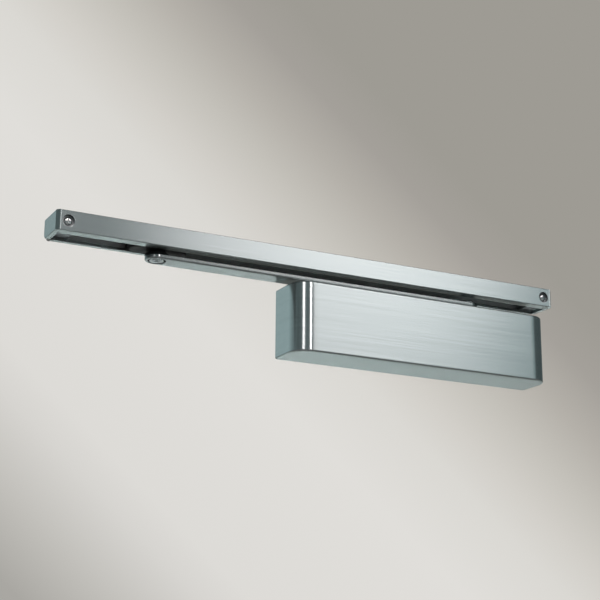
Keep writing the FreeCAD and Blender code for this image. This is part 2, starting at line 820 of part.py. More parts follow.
def make_rail_cap(side):
    """End cap: front corner chamfered, low back corner rounded, and a short spigot in the channel."""
    end, face, _ = rail_end(side)
    x0, x1 = sorted((end, face))
    plate = box(x0, x1, rail_front, -frame_step, rail_bottom, rail_top)
    front = edges_where(plate, lambda b: along_z(b, end, rail_front))
    plate = plate.makeChamfer(cap_chamfer, front)
    plate = plate.makeFillet(cap_low_corner, edges_where(plate, low_back_edge))
    back = edges_where(plate, lambda b: along_z(b, end, -frame_step))
    plate = plate.makeFillet(cap_back_edge, back)
    return plate.fuse(channel_plug(face, face - side * cap_spigot))


def make_rail_blocks():
    """Two blocks in the rail's ends that take the screws into the door frame."""
    z = rail_bottom + rail_height / 2
    seat = channel_front - rail_screw_proud + rail_screw_head
    blocks = []
    for side in (-1, 1):
        _, face, x = rail_end(side)
        start = face - side * (cap_spigot + fitting)
        block = channel_plug(start, start - side * rail_block_length)
        blocks.append(block.cut([
            rod_y(rail_screw_head_radius + loose, channel_front - 1, seat, x, z),
            rod_y(rail_screw_radius + loose, seat - 1, 0, x, z),
        ]))
    return Part.makeCompound(blocks)


def make_rail_screws():
    """Pan head screws through the rail's end blocks, with a smooth neck before the thread in the frame."""
    screws = []
    z = rail_bottom + rail_height / 2
    seat = channel_front - rail_screw_proud + rail_screw_head
    top = seat - rail_screw_head
    tip = -frame_step + rail_screw_reach
    for side in (-1, 1):
        _, _, x = rail_end(side)
        head = rod_y(rail_screw_head_radius, top, seat, x, z)
        head = head.makeFillet(rail_screw_head_round, edges_where(head, lambda b: abs(b.YMax - top) < 0.01))
        thread_start = -frame_step + rail_screw_neck_beyond
        neck = rod_y(rail_screw_neck_radius, seat, thread_start, x, z)
        shank = rod_y(rail_screw_radius, thread_start, tip - rail_screw_tip, x, z)
        point = Part.makeCone(rail_screw_radius, 0, rail_screw_tip,
                              vec(x, tip - rail_screw_tip, z), vec(0, 1, 0))
        wide = rail_screw_cross / 2
        thin = rail_screw_cross_width / 2
        floor = top + rail_screw_cross_depth
        cross = box(x - thin, x + thin, top - 1, floor, z - wide, z + wide)
        cross = cross.fuse(box(x - wide, x + wide, top - 1, floor, z - thin, z + thin))
        screws.append(head.fuse([neck, shank, point]).cut(cross))
    return Part.makeCompound(screws)


def piston_fork(pin_x, side):
    """Room for the roller and the cam between the two cheeks of a piston; side points to the spindle."""
    floor = pin_x - side * roller_room
    x0, x1 = sorted((floor, pin_x + side * (cheek_reach + 1)))
    return box(x0, x1, spindle_y - bore_radius, spindle_y + bore_radius, -half_cam - loose, half_cam + loose)


def drive_piston_left():
    return drive_pin_x - roller_room - drive_piston_skirt


def make_drive_piston():
    """Piston on the spring side, forked round its roller."""
    left = drive_piston_left()
    piston = rod_x(bore_radius - running, left, drive_pin_x + cheek_reach)
    recess = rod_x(bore_radius - drive_piston_rim, left - 1, left + drive_piston_pocket)
    pin = rod_z(roller_pin_radius, -bore_radius, bore_radius, drive_pin_x)
    return piston.cut([piston_fork(drive_pin_x, 1), recess, pin])


def roller_pin(x):
    """Hard pin held in a piston's cheeks."""
    half = bore_radius - pin_end_inset
    return rod_z(roller_pin_radius, -half, half, x)


def roller(x):
    """Hard roller that runs on the cam."""
    half = half_cam - loose
    disc = rod_z(roller_radius, -half, half, x)
    disc = disc.makeChamfer(roller_chamfer, edges_where(disc, lambda b: b.ZLength < 0.01))
    return disc.cut(rod_z(roller_pin_radius + running, -half_cam - 1, half_cam + 1, x))


def damping_piston_end():
    return damping_pin_x + roller_room + damping_piston_back


def make_damping_piston():
    """Piston on the damping side, with a recess for its spring and a check valve in its back."""
    right = damping_piston_end()
    piston = rod_x(bore_radius - running, damping_pin_x - cheek_reach, right)
    floor = damping_pin_x + roller_room + damping_recess_floor
    recess = rod_x(damping_recess_radius, floor, right + 1)
    pin = rod_z(roller_pin_radius, -bore_radius, bore_radius, damping_pin_x)
    hole_radius = check_ball_radius + check_ball_play
    valve = rod_x(hole_radius, right - check_depth, right + 1, spindle_y, check_offset_z)
    return piston.cut([piston_fork(damping_pin_x, -1), recess, pin, valve])


def make_check_ball():
    """Ball of the check valve."""
    x = damping_piston_end() - check_depth + check_ball_radius + fitting
    return Part.makeSphere(check_ball_radius, vec(x, spindle_y, check_offset_z))


def make_check_retainer():
    """Small sleeve that keeps the ball in its hole."""
    right = damping_piston_end()
    left = right - check_retainer_length
    sleeve = rod_x(check_ball_radius + check_ball_play - press, left, right, spindle_y, check_offset_z)
    return sleeve.cut(rod_x(check_port_radius, left - 1, right + 1, spindle_y, check_offset_z))


def spring_seat_left():
    return end_plug_left + adjuster_collar_thickness + fitting + spring_seat_gap


def make_main_spring():
    """Closing spring between its seat and the drive piston."""
    x0 = spring_seat_left() + spring_seat_plate + fitting
    x1 = drive_piston_left() + drive_piston_pocket - fitting
    mean = bore_radius - drive_piston_rim - fitting - main_spring_wire / 2
    return coil_spring("main_spring", x0, x1, mean, main_spring_wire, main_spring_turns)


def make_damping_spring():
    """Light spring that keeps the damping piston on the cam."""
    x0 = damping_pin_x + roller_room + damping_recess_floor + fitting
    x1 = end_plug_right - fitting
    mean = damping_recess_radius - loose - damping_spring_wire / 2
    return coil_spring("damping_spring", x0, x1, mean, damping_spring_wire, damping_spring_turns)


def make_adjuster_screw():
    """Adjusting screw for the closing force, with a collar behind the end plug."""
    left = barrel_left + adjuster_inset
    right = spring_seat_left() + spring_seat_thickness + spring_seat_travel + adjuster_margin
    shank = rod_x(adjuster_radius, left, right)
    start = end_plug_left + fitting
    collar = rod_x(adjuster_collar_radius, start, start + adjuster_collar_thickness)
    screw = shank.fuse(collar)
    return screw.cut(hexagon_x(adjuster_socket, left - 1, left + adjuster_socket_depth))


def make_spring_seat():
    """Threaded seat that the adjuster moves along the bore."""
    left = spring_seat_left()
    right = left + spring_seat_thickness
    seat = rod_x(bore_radius - running, left, left + spring_seat_plate)
    hub = rod_x(bore_radius - drive_piston_rim - main_spring_wire - loose, left, right)
    seat = seat.fuse(hub)
    return seat.cut(rod_x(adjuster_radius + running, left - 1, right + 1))


def valve_mouth(x1):
    """Mouth of a valve's bore and the direction out of it."""
    return (barrel_right, 1) if x1 > 0 else (barrel_left, -1)


def make_valve(index):
    """Regulating screw with a needle tip, a ring groove and a screwdriver slot."""
    _, x1, z = valve_places()[index]
    mouth, outward = valve_mouth(x1)
    radius = valve_radius - press
    deep = mouth - outward * valve_length
    head = mouth - outward * valve_head_inset
    a, b = sorted((deep + outward * valve_needle_length, head))
    stem = rod_x(radius, a, b, -valve_to_door, z)
    needle = Part.makeCone(valve_needle_tip, radius, valve_needle_length,
                           vec(deep, -valve_to_door, z), vec(outward, 0, 0))
    s0, s1 = sorted((head - outward * valve_slot_depth, head + outward))
    slot = box(s0, s1, -valve_to_door - valve_radius - 1, -valve_to_door + valve_radius + 1,
               z - valve_slot_width / 2, z + valve_slot_width / 2)
    ring_at = mouth - outward * valve_ring_inset
    half = (valve_ring_thickness + groove_extra) / 2
    groove = rod_x(valve_radius + 1, ring_at - half, ring_at + half, -valve_to_door, z)
    core_radius = valve_radius - valve_ring_thickness - fitting
    core = rod_x(core_radius, ring_at - half, ring_at + half, -valve_to_door, z)
    return stem.fuse(needle).cut([slot, groove.cut(core)])


def make_valve_seals():
    """Rubber rings on the three valve screws."""
    rings = []
    for _, x1, z in valve_places():
        mouth, outward = valve_mouth(x1)
        place = vec(mouth - outward * valve_ring_inset, -valve_to_door, z)
        rings.append(rubber_ring(place, vec(1, 0, 0), valve_radius, valve_ring_thickness))
    return Part.makeCompound(rings)


nodes = {
    "closer_body": make_closer_body(),
    "cover": make_cover(),
    "cover_clips": make_cover_clips(),
    "clip_screws": make_clip_screws(),
    "spring_end_plug": make_spring_end_plug(),
    "damping_end_plug": make_damping_end_plug(),
    "end_plug_seals": make_end_plug_seals(),
    "upper_gland": make_upper_gland(),
    "upper_bearing": make_upper_bearing(),
    "upper_shaft_seal": make_upper_shaft_seal(),
    "lower_bearing": make_lower_bearing(),
    "lower_plug": make_lower_plug(),
    "lower_plug_seal": make_lower_plug_seal(),
    "valve_seals": make_valve_seals(),
    "cam_shaft": make_cam_shaft(),
    "slide_arm": make_slide_arm(),
    "arm_washer": make_arm_washer(),
    "arm_screw": make_arm_screw(),
    "arm_bush": make_arm_bush(),
    "slider_block": make_slider_block(),
    "pivot_pin": make_pivot_pin(),
    "retaining_clip": make_retaining_clip(),
    "guide_rail": make_guide_rail(),
    "left_rail_cap": make_rail_cap(-1),
    "right_rail_cap": make_rail_cap(1),
    "rail_blocks": make_rail_blocks(),
    "rail_screws": make_rail_screws(),
    "drive_piston": make_drive_piston(),
    "drive_roller_pin": roller_pin(drive_pin_x),
    "drive_roller": roller(drive_pin_x),
    "damping_piston": make_damping_piston(),
    "damping_roller_pin": roller_pin(damping_pin_x),
    "damping_roller": roller(damping_pin_x),
    "check_ball": make_check_ball(),
    "check_retainer": make_check_retainer(),
    "main_spring": make_main_spring(),
    "damping_spring": make_damping_spring(),
    "adjuster_screw": make_adjuster_screw(),
    "spring_seat": make_spring_seat(),
    "sweep_valve": make_valve(0),
    "latch_valve": make_valve(1),
    "backcheck_valve": make_valve(2),
}

for name, shape in nodes.items():
    shape.exportStep("parts/" + name + ".step")
    state = "valid" if shape.isValid() else "NOT VALID"
    print(name, len(shape.Solids), "solids", state, round(shape.Volume, 1))
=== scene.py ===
# %% [markdown]
# # Slide arm door closer
#
# A door closer hangs at the top of a door. A slim cover hides the cast body, a flat arm swings above it,
# and the arm's end slides along a guide rail on the door frame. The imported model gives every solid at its
# true place, in metres. This lesson dresses those solids: the pieces that the eye reads first are built
# again as fine meshes, and each of the others gets the finish of its real material.

# %% Load the frame
import json
import math
import bmesh
import bpy
import numpy as np
from mathutils import Matrix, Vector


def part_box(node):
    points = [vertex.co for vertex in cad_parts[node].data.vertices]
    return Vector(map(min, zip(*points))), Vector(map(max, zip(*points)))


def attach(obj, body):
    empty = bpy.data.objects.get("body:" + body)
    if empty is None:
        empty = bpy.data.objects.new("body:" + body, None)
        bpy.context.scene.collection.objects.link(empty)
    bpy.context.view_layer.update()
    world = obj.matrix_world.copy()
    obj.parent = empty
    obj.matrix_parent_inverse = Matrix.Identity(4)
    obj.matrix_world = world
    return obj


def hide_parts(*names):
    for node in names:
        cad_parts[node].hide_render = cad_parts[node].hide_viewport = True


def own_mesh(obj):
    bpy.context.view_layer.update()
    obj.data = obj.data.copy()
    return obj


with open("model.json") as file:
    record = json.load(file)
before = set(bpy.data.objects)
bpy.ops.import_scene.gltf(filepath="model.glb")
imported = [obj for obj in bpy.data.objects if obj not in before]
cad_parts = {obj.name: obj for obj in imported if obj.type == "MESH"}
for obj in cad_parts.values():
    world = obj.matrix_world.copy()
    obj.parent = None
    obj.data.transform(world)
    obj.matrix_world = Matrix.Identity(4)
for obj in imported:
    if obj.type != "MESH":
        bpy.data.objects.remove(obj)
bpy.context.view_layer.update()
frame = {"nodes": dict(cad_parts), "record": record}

MM = 0.001

# %% [markdown]
# ## Colours and nodes
#
# Colours are written as sRGB hex, the way a paint chart gives them, and one function turns them into the
# linear values that a shader needs. Another adds a node with its settings and its links, and a few more
# stand for the nodes that come up most, so that a material reads as a short list of steps.

# %% Colour and node helpers
def linear(hex_code):
    """Linear RGBA of an sRGB hex colour: each channel c becomes ((c + 0.055) / 1.055) ** 2.4."""
    channels = np.array([int(hex_code[i:i + 2], 16) for i in (1, 3, 5)]) / 255
    low = channels <= 0.04045
    out = np.where(low, channels / 12.92, ((channels + 0.055) / 1.055) ** 2.4)
    return (*out.tolist(), 1.0)


def add(tree, kind, inputs=None, **settings):
    """One new node: settings are its properties, inputs its constants, or links from other sockets."""
    node = tree.nodes.new("ShaderNode" + kind)
    for name, value in settings.items():
        setattr(node, name, value)
    for name, value in (inputs or {}).items():
        if isinstance(value, bpy.types.NodeSocket):
            tree.links.new(value, node.inputs[name])
        else:
            node.inputs[name].default_value = value
    return node


def compute(tree, operation, *values):
    """The result of a Math node, from its operation and its numbers or sockets."""
    return add(tree, "Math", dict(enumerate(values)), operation=operation).outputs[0]


def noise_at(tree, spot, scale, detail=2.0):
    """Noise at a socket's coordinates, with a scale per metre."""
    return add(tree, "TexNoise", {"Vector": spot, "Scale": scale, "Detail": detail}).outputs[0]


def blend(tree, factor, first, second):
    """The colour between two colours or sockets, at a factor from a socket."""
    return add(tree, "Mix", {"Factor": factor, 6: first, 7: second}, data_type="RGBA").outputs[2]


def span(tree, value, low, high, to_low=0.0, to_high=1.0, **settings):
    """A socket's value carried from one range to another, and held at its ends."""
    ends = {"From Min": low, "From Max": high, "To Min": to_low, "To Max": to_high}
    return add(tree, "MapRange", {"Value": value, **ends}, **settings).outputs[0]


def new_material(name):
    """An empty node material: the material, its tree and a function that wires a shader to its output."""
    material = bpy.data.materials.new(name)
    material.use_nodes = True
    tree = material.node_tree
    tree.nodes.clear()
    output = add(tree, "OutputMaterial")
    return material, tree, lambda shader: tree.links.new(shader.outputs[0], output.inputs["Surface"])


print("mid grey is", [round(v, 3) for v in linear("#808080")[:3]])

# %% [markdown]
# ## Brushed steel
#
# The cover and the rail's caps are stainless sheet and plate, and the rail is a drawn profile. A fine belt
# has brushed them along their length. It leaves parallel scratches: along a wall they run level, so the
# pattern is stretched along X and Y and fine in Z. On a top or bottom face they run along X and are fine in
# Y. The eye sees faint level streaks, and lights that spread up and down across the scratches but stay
# narrow along them. An anisotropic shader gives those lights, and its tangent points across the scratches.
#
# The real scratches are about 0.1 mm wide. Here they are 1.1 mm, the finest that a picture of this size
# shows cleanly. A noise texture has flat places along the planes of its own lattice, and where a long
# scratch lies on one, it shows as a crack. So each pattern is turned aslant.

# %% Scratches
ASLANT = (0.6, 0.7, 0.4)
WALL_UNTIL, FLAT_FROM = 0.5, 0.85
DRIFT_SHARE, NOISE_LOW, NOISE_HIGH = 0.4, 0.4, 1.0


def aslant_streaks(tree, spot, scale):
    """Noise at a socket's coordinates, turned aslant and stretched by one factor per axis."""
    mapping = add(tree, "Mapping", {"Vector": spot, "Rotation": ASLANT, "Scale": scale})
    return noise_at(tree, mapping.outputs["Vector"], 1.0, 1.0)


def scratches(tree, place, scratch, run):
    """Two sockets: streaks run mm long and scratch mm wide, and the same with a broader drift added."""
    spot, fine, long = place.outputs["Object"], 1 / (scratch * MM), 1 / (run * MM)
    on_walls = aslant_streaks(tree, spot, (long, long, fine))
    on_flats = aslant_streaks(tree, spot, (long, fine, long))
    normal = add(tree, "SeparateXYZ", {"Vector": place.outputs["Normal"]})
    flatness = span(tree, compute(tree, "ABSOLUTE", normal.outputs["Z"]), WALL_UNTIL, FLAT_FROM)
    streak = add(tree, "Mix", {"Factor": flatness, 2: on_walls, 3: on_flats}).outputs[0]
    drift = aslant_streaks(tree, spot, (0.8 * long, 0.8 * long, 0.5 * fine))
    return streak, compute(tree, "MULTIPLY_ADD", drift, DRIFT_SHARE, streak)


def in_channel(tree, place, channel):
    """1 inside a box along X, where the larger of |y - middle| - half and |z - middle| - half is below 0."""
    axes = add(tree, "SeparateXYZ", {"Vector": place.outputs["Object"]})
    beyond = []
    for axis, (middle, half) in zip("YZ", channel):
        off = compute(tree, "ABSOLUTE", compute(tree, "SUBTRACT", axes.outputs[axis], middle * MM))
        beyond.append(compute(tree, "SUBTRACT", off, half * MM))
    return compute(tree, "LESS_THAN", compute(tree, "MAXIMUM", *beyond), 0.0)


print("each pattern is turned aslant by", ASLANT, "radians")

# %% Brushed metal
ACROSS_SCRATCHES, ANISOTROPY, SCRATCH_DEPTH = (0.0, 0.1, 1.0), 0.9, 0.01
MATT_ROUGHNESS, INSIDE_PAINTED_LIGHT = 0.55, "#d2d9d9"


def brushed_metal(name, dark, light, roughness, spread, bump, scratch=1.1, run=90.0, channel=None):
    """Metal whose scratches drive colour, roughness and bump. Inside a channel, given by its middle and half
    sizes in Y and Z, the belt can't reach, and the metal is matt, as the die leaves it. Its colour there is
    painted paler: painted light that lifts the channel's shade."""
    material, tree, to_surface = new_material(name)
    place = add(tree, "TexCoord")
    streak, both = scratches(tree, place, scratch, run)
    tone = span(tree, both, NOISE_LOW, NOISE_HIGH)
    colour = blend(tree, tone, linear(dark), linear(light))
    rough = span(tree, both, NOISE_LOW, NOISE_HIGH, roughness - spread, roughness + spread)
    if channel:
        inside = in_channel(tree, place, channel)
        rough = add(tree, "Mix", {"Factor": inside, 2: rough, 3: MATT_ROUGHNESS}).outputs[0]
        # painted light: inside the channel the colour turns paler, to lift the shade there
        colour = blend(tree, inside, colour, linear(INSIDE_PAINTED_LIGHT))
    relief = add(tree, "Bump", {"Height": streak, "Strength": bump, "Distance": SCRATCH_DEPTH * MM})
    across = add(tree, "VectorTransform", {"Vector": ACROSS_SCRATCHES},
                 convert_from="OBJECT", convert_to="WORLD")
    to_surface(add(tree, "BsdfPrincipled", {
        "Metallic": 1.0, "Base Color": colour, "Anisotropic": ANISOTROPY, "Roughness": rough,
        "Normal": relief.outputs[0], "Tangent": across.outputs[0]}))
    return material


# the inside of the rail: middle and half size in Y, then in Z
CHANNEL = ((-21.0, 12.95), (45.9, 5.95))
# stainless sheet, belt brushed: a cool grey with soft lights
satin_steel = brushed_metal("brushed_stainless_steel", "#a4aeae", "#afb9b9", 0.26, 0.01, 0.03)
# the drawn rail, brushed like the cover outside, dull inside, where its colour is painted paler as painted
# light
rail_steel = brushed_metal("brushed_extruded_rail", "#a4aeae", "#afb9b9", 0.26, 0.01, 0.03, channel=CHANNEL)
# steel bar, tumbled and plated: a little darker and smoother, with shorter scratches
arm_steel = brushed_metal("satin_plated_steel_bar", "#939a9a", "#9aa1a1", 0.23, 0.01, 0.03, 1.2, 60.0)
print("brushed", satin_steel.name, rail_steel.name, arm_steel.name)

# %% [markdown]
# ## Grained finishes
#
# The other materials have a grain with no direction: a sand casting's skin, the crystals of zinc plate, the
# fine texture of moulded acetal and rubber, the last cut of a turned or ground part. One function gives
# them all, with the grain's size in millimetres: fine noise for the grain, and noise 25 times as broad for
# the slow change of tone that handling, oil and plating leave.

# %% Grained materials
PATCH_TIMES, GRAIN_LOW, GRAIN_HIGH = 25, 0.7, 1.3


def grained(name, dark, light, grain, roughness, spread, bump, depth, metallic=0.0, specular=0.5):
    """A material whose noise grain of a given size in mm drives colour, roughness and a bump of depth mm."""
    material, tree, to_surface = new_material(name)
    spot = add(tree, "TexCoord").outputs["Object"]
    fine = noise_at(tree, spot, 1 / (grain * MM), 4.0)
    both = compute(tree, "ADD", fine, noise_at(tree, spot, 1 / (PATCH_TIMES * grain * MM)))
    tone = span(tree, both, GRAIN_LOW, GRAIN_HIGH)
    colour = blend(tree, tone, linear(dark), linear(light))
    rough = span(tree, both, GRAIN_LOW, GRAIN_HIGH, roughness - spread, roughness + spread)
    relief = add(tree, "Bump", {"Height": fine, "Strength": bump, "Distance": depth * MM})
    look = {"Metallic": metallic, "Base Color": colour, "Roughness": rough, "Normal": relief.outputs[0]}
    shine = {} if metallic else {"Specular IOR Level": specular}
    to_surface(add(tree, "BsdfPrincipled", {**look, **shine}))
    return material


# injection moulded acetal with a fine texture: nearly black, with a weak soft shine
black_acetal = grained("moulded_black_acetal", "#131617", "#1a1d1e", 0.4, 0.5, 0.07, 0.25, 0.02,
                       specular=0.12)
# moulded nitrile rubber: black and dull
black_rubber = grained("moulded_black_rubber", "#151515", "#222221", 0.3, 0.62, 0.08, 0.4, 0.03)
# sand cast aluminium: a pale rough skin with slow patches
cast_aluminium = grained("sand_cast_aluminium", "#8f9293", "#b0b3b3", 0.9, 0.46, 0.10, 0.6, 0.12, 1.0)
# die cast zinc, left bare: a dull grey, painted darker as painted shade inside the rail and its screw holes
dark_zinc_shade = grained("zinc_with_painted_shade", "#6c7072", "#808486", 0.6, 0.50, 0.08, 0.4, 0.05, 1.0)
# bright zinc plate on steel: pale, clear lights
zinc_plate = grained("bright_zinc_plate", "#b4b9bd", "#cfd3d4", 0.5, 0.26, 0.06, 0.2, 0.02, 1.0)
# oiled spring wire: grey with a soft shine
spring_steel = grained("oiled_spring_steel", "#a9adaf", "#bfc3c4", 0.6, 0.30, 0.06, 0.3, 0.03, 1.0)
# turned brass: yellow with clear lights
turned_brass = grained("turned_brass", "#b9974f", "#d0b26a", 0.5, 0.24, 0.06, 0.2, 0.02, 1.0)
# ground steel: even grey, fine grain
ground_steel = grained("ground_steel", "#8b8f93", "#a8acae", 0.35, 0.28, 0.06, 0.25, 0.02, 1.0)
# phosphated steel: dark and soft, it holds oil
piston_steel = grained("phosphated_piston_steel", "#5a5d60", "#74777a", 0.5, 0.42, 0.08, 0.3, 0.03, 1.0)
# bright nickel plate on screw heads: almost a mirror
screw_plate = grained("bright_plated_screw", "#c4c9cb", "#d4d8d8", 0.5, 0.14, 0.03, 0.15, 0.01, 1.0)
print("grained materials", len(bpy.data.materials) - 3)

# %% [markdown]
# ## Finish the imported solids
#
# Every imported node keeps its mesh and gets the finish that its slot in the record names, except the rail's
# blocks, which get dark zinc as painted shade. The pieces that are built again further down hide theirs.

# %% Give every node its finish
FINISH = {
    "satin_steel": satin_steel, "arm_steel": arm_steel, "cast_aluminium": cast_aluminium,
    "machined_steel": ground_steel, "piston_steel": piston_steel, "zinc_plated": zinc_plate,
    "spring_steel": spring_steel, "black_rubber": black_rubber, "black_plastic": black_acetal,
    "brass": turned_brass,
}
record = frame["record"]
slot_of = {part["node"]: part["material_slot"] for part in record["subparts"]}
body_of = {node: body for body, nodes in record["behaviour"]["bodies"].items() for node in nodes}
for name, node in frame["nodes"].items():
    node.data.materials.clear()
    # the rail's blocks: zinc painted darker, painted shade inside the rail
    node.data.materials.append(dark_zinc_shade if name == "rail_blocks" else FINISH[slot_of[name]])
print("nodes without a slot:", [n for n in frame["nodes"] if n not in slot_of])

# %% [markdown]
# ## Surfaces from loops
#
# Nearly every piece here is a stack of loops: the same number of points in each, joined by quads. The edges
# are never knife sharp on a real part, so each corner of a stack is a small arc, and one more loop just
# beside the arc on each flat keeps the flat's shading true.

# %% Make a piece
def place_in_scene(name, data, pose=None):
    """A new object for a mesh, a lamp or a camera, turned and set by a 4 x 4 pose."""
    thing = bpy.data.objects.new(name, data)
    bpy.context.scene.collection.objects.link(thing)
    if pose is not None:
        thing.matrix_world = Matrix(pose.tolist())
    return thing


def stand_for(piece, node):
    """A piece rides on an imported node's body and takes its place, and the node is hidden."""
    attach(piece, body_of[node])
    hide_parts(node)


def build(name, points, faces, node, smooth=35.0, finish=None):
    """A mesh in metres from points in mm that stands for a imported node, with that node's body and finish."""
    mesh = bpy.data.meshes.new(name)
    mesh.from_pydata((np.asarray(points, float) * MM).tolist(), [], faces)
    mesh.validate()
    mesh.update()
    mesh.shade_smooth()
    mesh.set_sharp_from_angle(angle=math.radians(smooth))
    mesh.materials.append(finish or FINISH[slot_of[node]])
    piece = place_in_scene(name, mesh)
    stand_for(piece, node)
    print(name, "vertices", len(mesh.vertices), "faces", len(mesh.polygons))
    return piece


print("bodies that pieces can ride on:", len(set(body_of.values())))

# %% Grids and edges
def facing(faces, turn):
    """Faces as lists of point numbers, each run backwards if turn is set."""
    return [(face[::-1] if turn else face).tolist() for face in faces]


def grid(rows, columns, closed=True, start=0, turn=False):
    """Quads between rows of points: point (i, j) is start + i * columns + j; closed joins last to first."""
    i, j = np.meshgrid(np.arange(rows - 1), np.arange(columns if closed else columns - 1), indexing="ij")
    k = (j + 1) % columns
    row, above = i * columns, (i + 1) * columns
    quads = start + np.stack([row + j, row + k, above + k, above + j], -1)
    return facing(quads.reshape(-1, 4), turn)


def corner_levels(radius, steps=5, beside=0.12):
    """(inset, rise) pairs over a rounded edge: from the flat face to the wall, along a quarter circle."""
    angle = np.linspace(0, math.pi / 2, steps + 1)
    arc = np.column_stack([radius * (1 - np.sin(angle)), radius * (1 - np.cos(angle))])
    return np.vstack([[radius + beside, 0], arc, [0, radius + beside]])


def slab_levels(bottom, top, radius):
    """(inset, z) pairs up the side of a slab: rounded edge, plain wall, rounded edge."""
    inset, rise = corner_levels(radius).T
    low, high = np.column_stack([inset, bottom + rise]), np.column_stack([inset, top - rise])
    return np.vstack([low, high[::-1]])


print("levels over a 0.8 mm edge", corner_levels(0.8).round(2).tolist())

# %% Stacks of loops
def loop_of(start, count):
    """Indices of a loop of points."""
    return start + np.arange(count)


def level(loop, z):
    """A loop in the plane lifted to height z."""
    return np.column_stack([loop, np.full(len(loop), z)])


def slab(outline_at, levels):
    """Loops of a slab: the outline at each level's inset, at its height."""
    return [level(outline_at(inset), z) for inset, z in levels]


def stack(loops, start=0, ends=True, turn=False):
    """Quads between loops of equal length, lowest first; ends closes both, else the last joins the first."""
    count = len(loops[0])
    faces = grid(len(loops), count, start=start, turn=turn)
    first, last = loop_of(start, count), loop_of(start + (len(loops) - 1) * count, count)
    joint = np.stack([last, np.roll(last, -1), np.roll(first, -1), first], -1)
    return faces + facing([first[::-1], last] if ends else joint, turn)


def build_stack(name, loops, node, smooth=30.0, finish=None, ends=True):
    """A piece that is one stack of loops, with both ends closed or joined to each other."""
    return build(name, np.vstack(loops), stack(loops, ends=ends), node, smooth, finish)


print("a ring of four loops of six points has", len(stack([np.zeros((6, 2))] * 4, ends=False)), "faces")

# %% Outlines by rays
def rounded_box(p, centre, half, corner):
    """Signed distance to a rounded rectangle: |p - centre| - half + corner, its length, less corner."""
    q = np.abs(p - np.array(centre)) - np.array(half) + corner
    return np.hypot(*np.maximum(q, 0).T) + np.minimum(q.max(1), 0) - corner


def rays(count=96, crowd=0.0):
    """Angles of the rays round a centre; crowd brings them closer together near 0 and 180 degrees."""
    t = np.arange(count) * 2 * math.pi / count
    return t - crowd * np.sin(2 * t) / 2


def arc_points(angles):
    """Unit vectors at the angles."""
    return np.column_stack([np.cos(angles), np.sin(angles)])


def ring(distance, angles, centre, inset=0.0, reach=60.0, halvings=40):
    """Where each ray from the centre crosses distance = -inset, by halvings of the interval 0 to reach."""
    ray = arc_points(angles)
    near, far = np.zeros(len(angles)), np.full(len(angles), reach)
    for _ in range(halvings):
        middle = (near + far) / 2
        inside = distance(np.array(centre) + ray * middle[:, None]) < -inset
        near, far = np.where(inside, middle, near), np.where(inside, far, middle)
    return np.array(centre) + ray * near[:, None]


def circle(radius, angles, centre):
    """Points at radius along the rays from the centre."""
    return np.array(centre) + radius * arc_points(angles)


def rings(pairs, angles, centre):
    """Circles of a turned shape, from (radius, z) pairs."""
    return [level(circle(radius, angles, centre), z) for radius, z in pairs]


box_ring = ring(lambda p: rounded_box(p, (0, 0), (5, 3), 0), rays(4), (0, 0))
print("four rays cross a 10 x 6 box at", box_ring.round(2).tolist())

# %% [markdown]
# ## Cover
#
# The real cover is a sheet metal shell, open towards the door, with a large radius at each upright front
# corner and a way in for the arm's spindle at the top. It could be a box with a Bevel and a Solidify
# modifier, but the upright corners and the level edges have different radii, and the opening has to stay
# exact. So the shell is two like surfaces, outer and inner, each a band along the U of its plan times the
# levels up its side, and their free edges are stitched at the back.
#
# A bent sheet doesn't go from flat to round at once. The front starts to turn 3 mm before each corner's
# arc, which draws out the bright lines there. Inside, a low catch on each end wall snaps behind the cover's
# clip.

# %% Cover measures
COVER_HALF, COVER_DEPTH, COVER_HALF_HEIGHT = 119.4, 37.4, 28.2
COVER_CORNER, COVER_WALL, COVER_EDGE, COVER_INNER_EDGE = 15.4, 1.2, 1.4, 0.2
SPINDLE_X, SPINDLE_Y, WAY_IN, OPENING_STEPS = 50.0, -18.8, 9.5, 32
SOFT_START, SOFT_TURN = 3.0, math.radians(2.0)


def cover_path(inset, steps=18, beside=0.5):
    """Plan of the cover at an inset, from the back edge: side, arc, front, arc, side. Before an arc the
    front falls back by run ** 2 * tan(SOFT_TURN) / (2 * reach), a parabola that meets it."""
    radius = COVER_CORNER - inset
    cx, cy = COVER_HALF - COVER_CORNER, -COVER_DEPTH + COVER_CORNER
    turn = np.linspace(SOFT_TURN, math.pi / 2, steps + 1)
    reach = SOFT_START + radius * math.sin(SOFT_TURN)
    run = np.linspace(0, reach, 5)[:-1]
    fall = run ** 2 * math.tan(SOFT_TURN) / (2 * reach)
    settle = reach * math.tan(SOFT_TURN) / 2 - radius * (1 - math.cos(SOFT_TURN))
    front = np.column_stack([cx - SOFT_START + run, -COVER_DEPTH + inset + fall])
    right = np.column_stack([cx + radius * np.sin(turn), cy + settle - radius * np.cos(turn)])
    side = COVER_HALF - inset
    right = np.vstack([[front[0, 0] - beside, front[0, 1]], front, right, [side, cy + beside], [side, 0]])
    return np.vstack([right[::-1] * [-1, 1], right])


def cover_skin(inset, edge):
    """Points of one skin: the path at each level, then the way in's edge on the top face."""
    levels = slab_levels(-COVER_HALF_HEIGHT + inset, COVER_HALF_HEIGHT - inset, edge)
    band = np.vstack([level(cover_path(inset + step), z) for step, z in levels])
    turn = np.linspace(0, math.pi, OPENING_STEPS + 1)
    opening = np.column_stack([SPINDLE_X + WAY_IN * np.cos(turn), SPINDLE_Y - WAY_IN * np.sin(turn)])
    opening = np.vstack([[SPINDLE_X + WAY_IN, 0], opening, [SPINDLE_X - WAY_IN, 0]])
    return np.vstack([band, level(opening, COVER_HALF_HEIGHT - inset)]), len(levels), len(opening)


print("cover plan points", len(cover_path(0)))

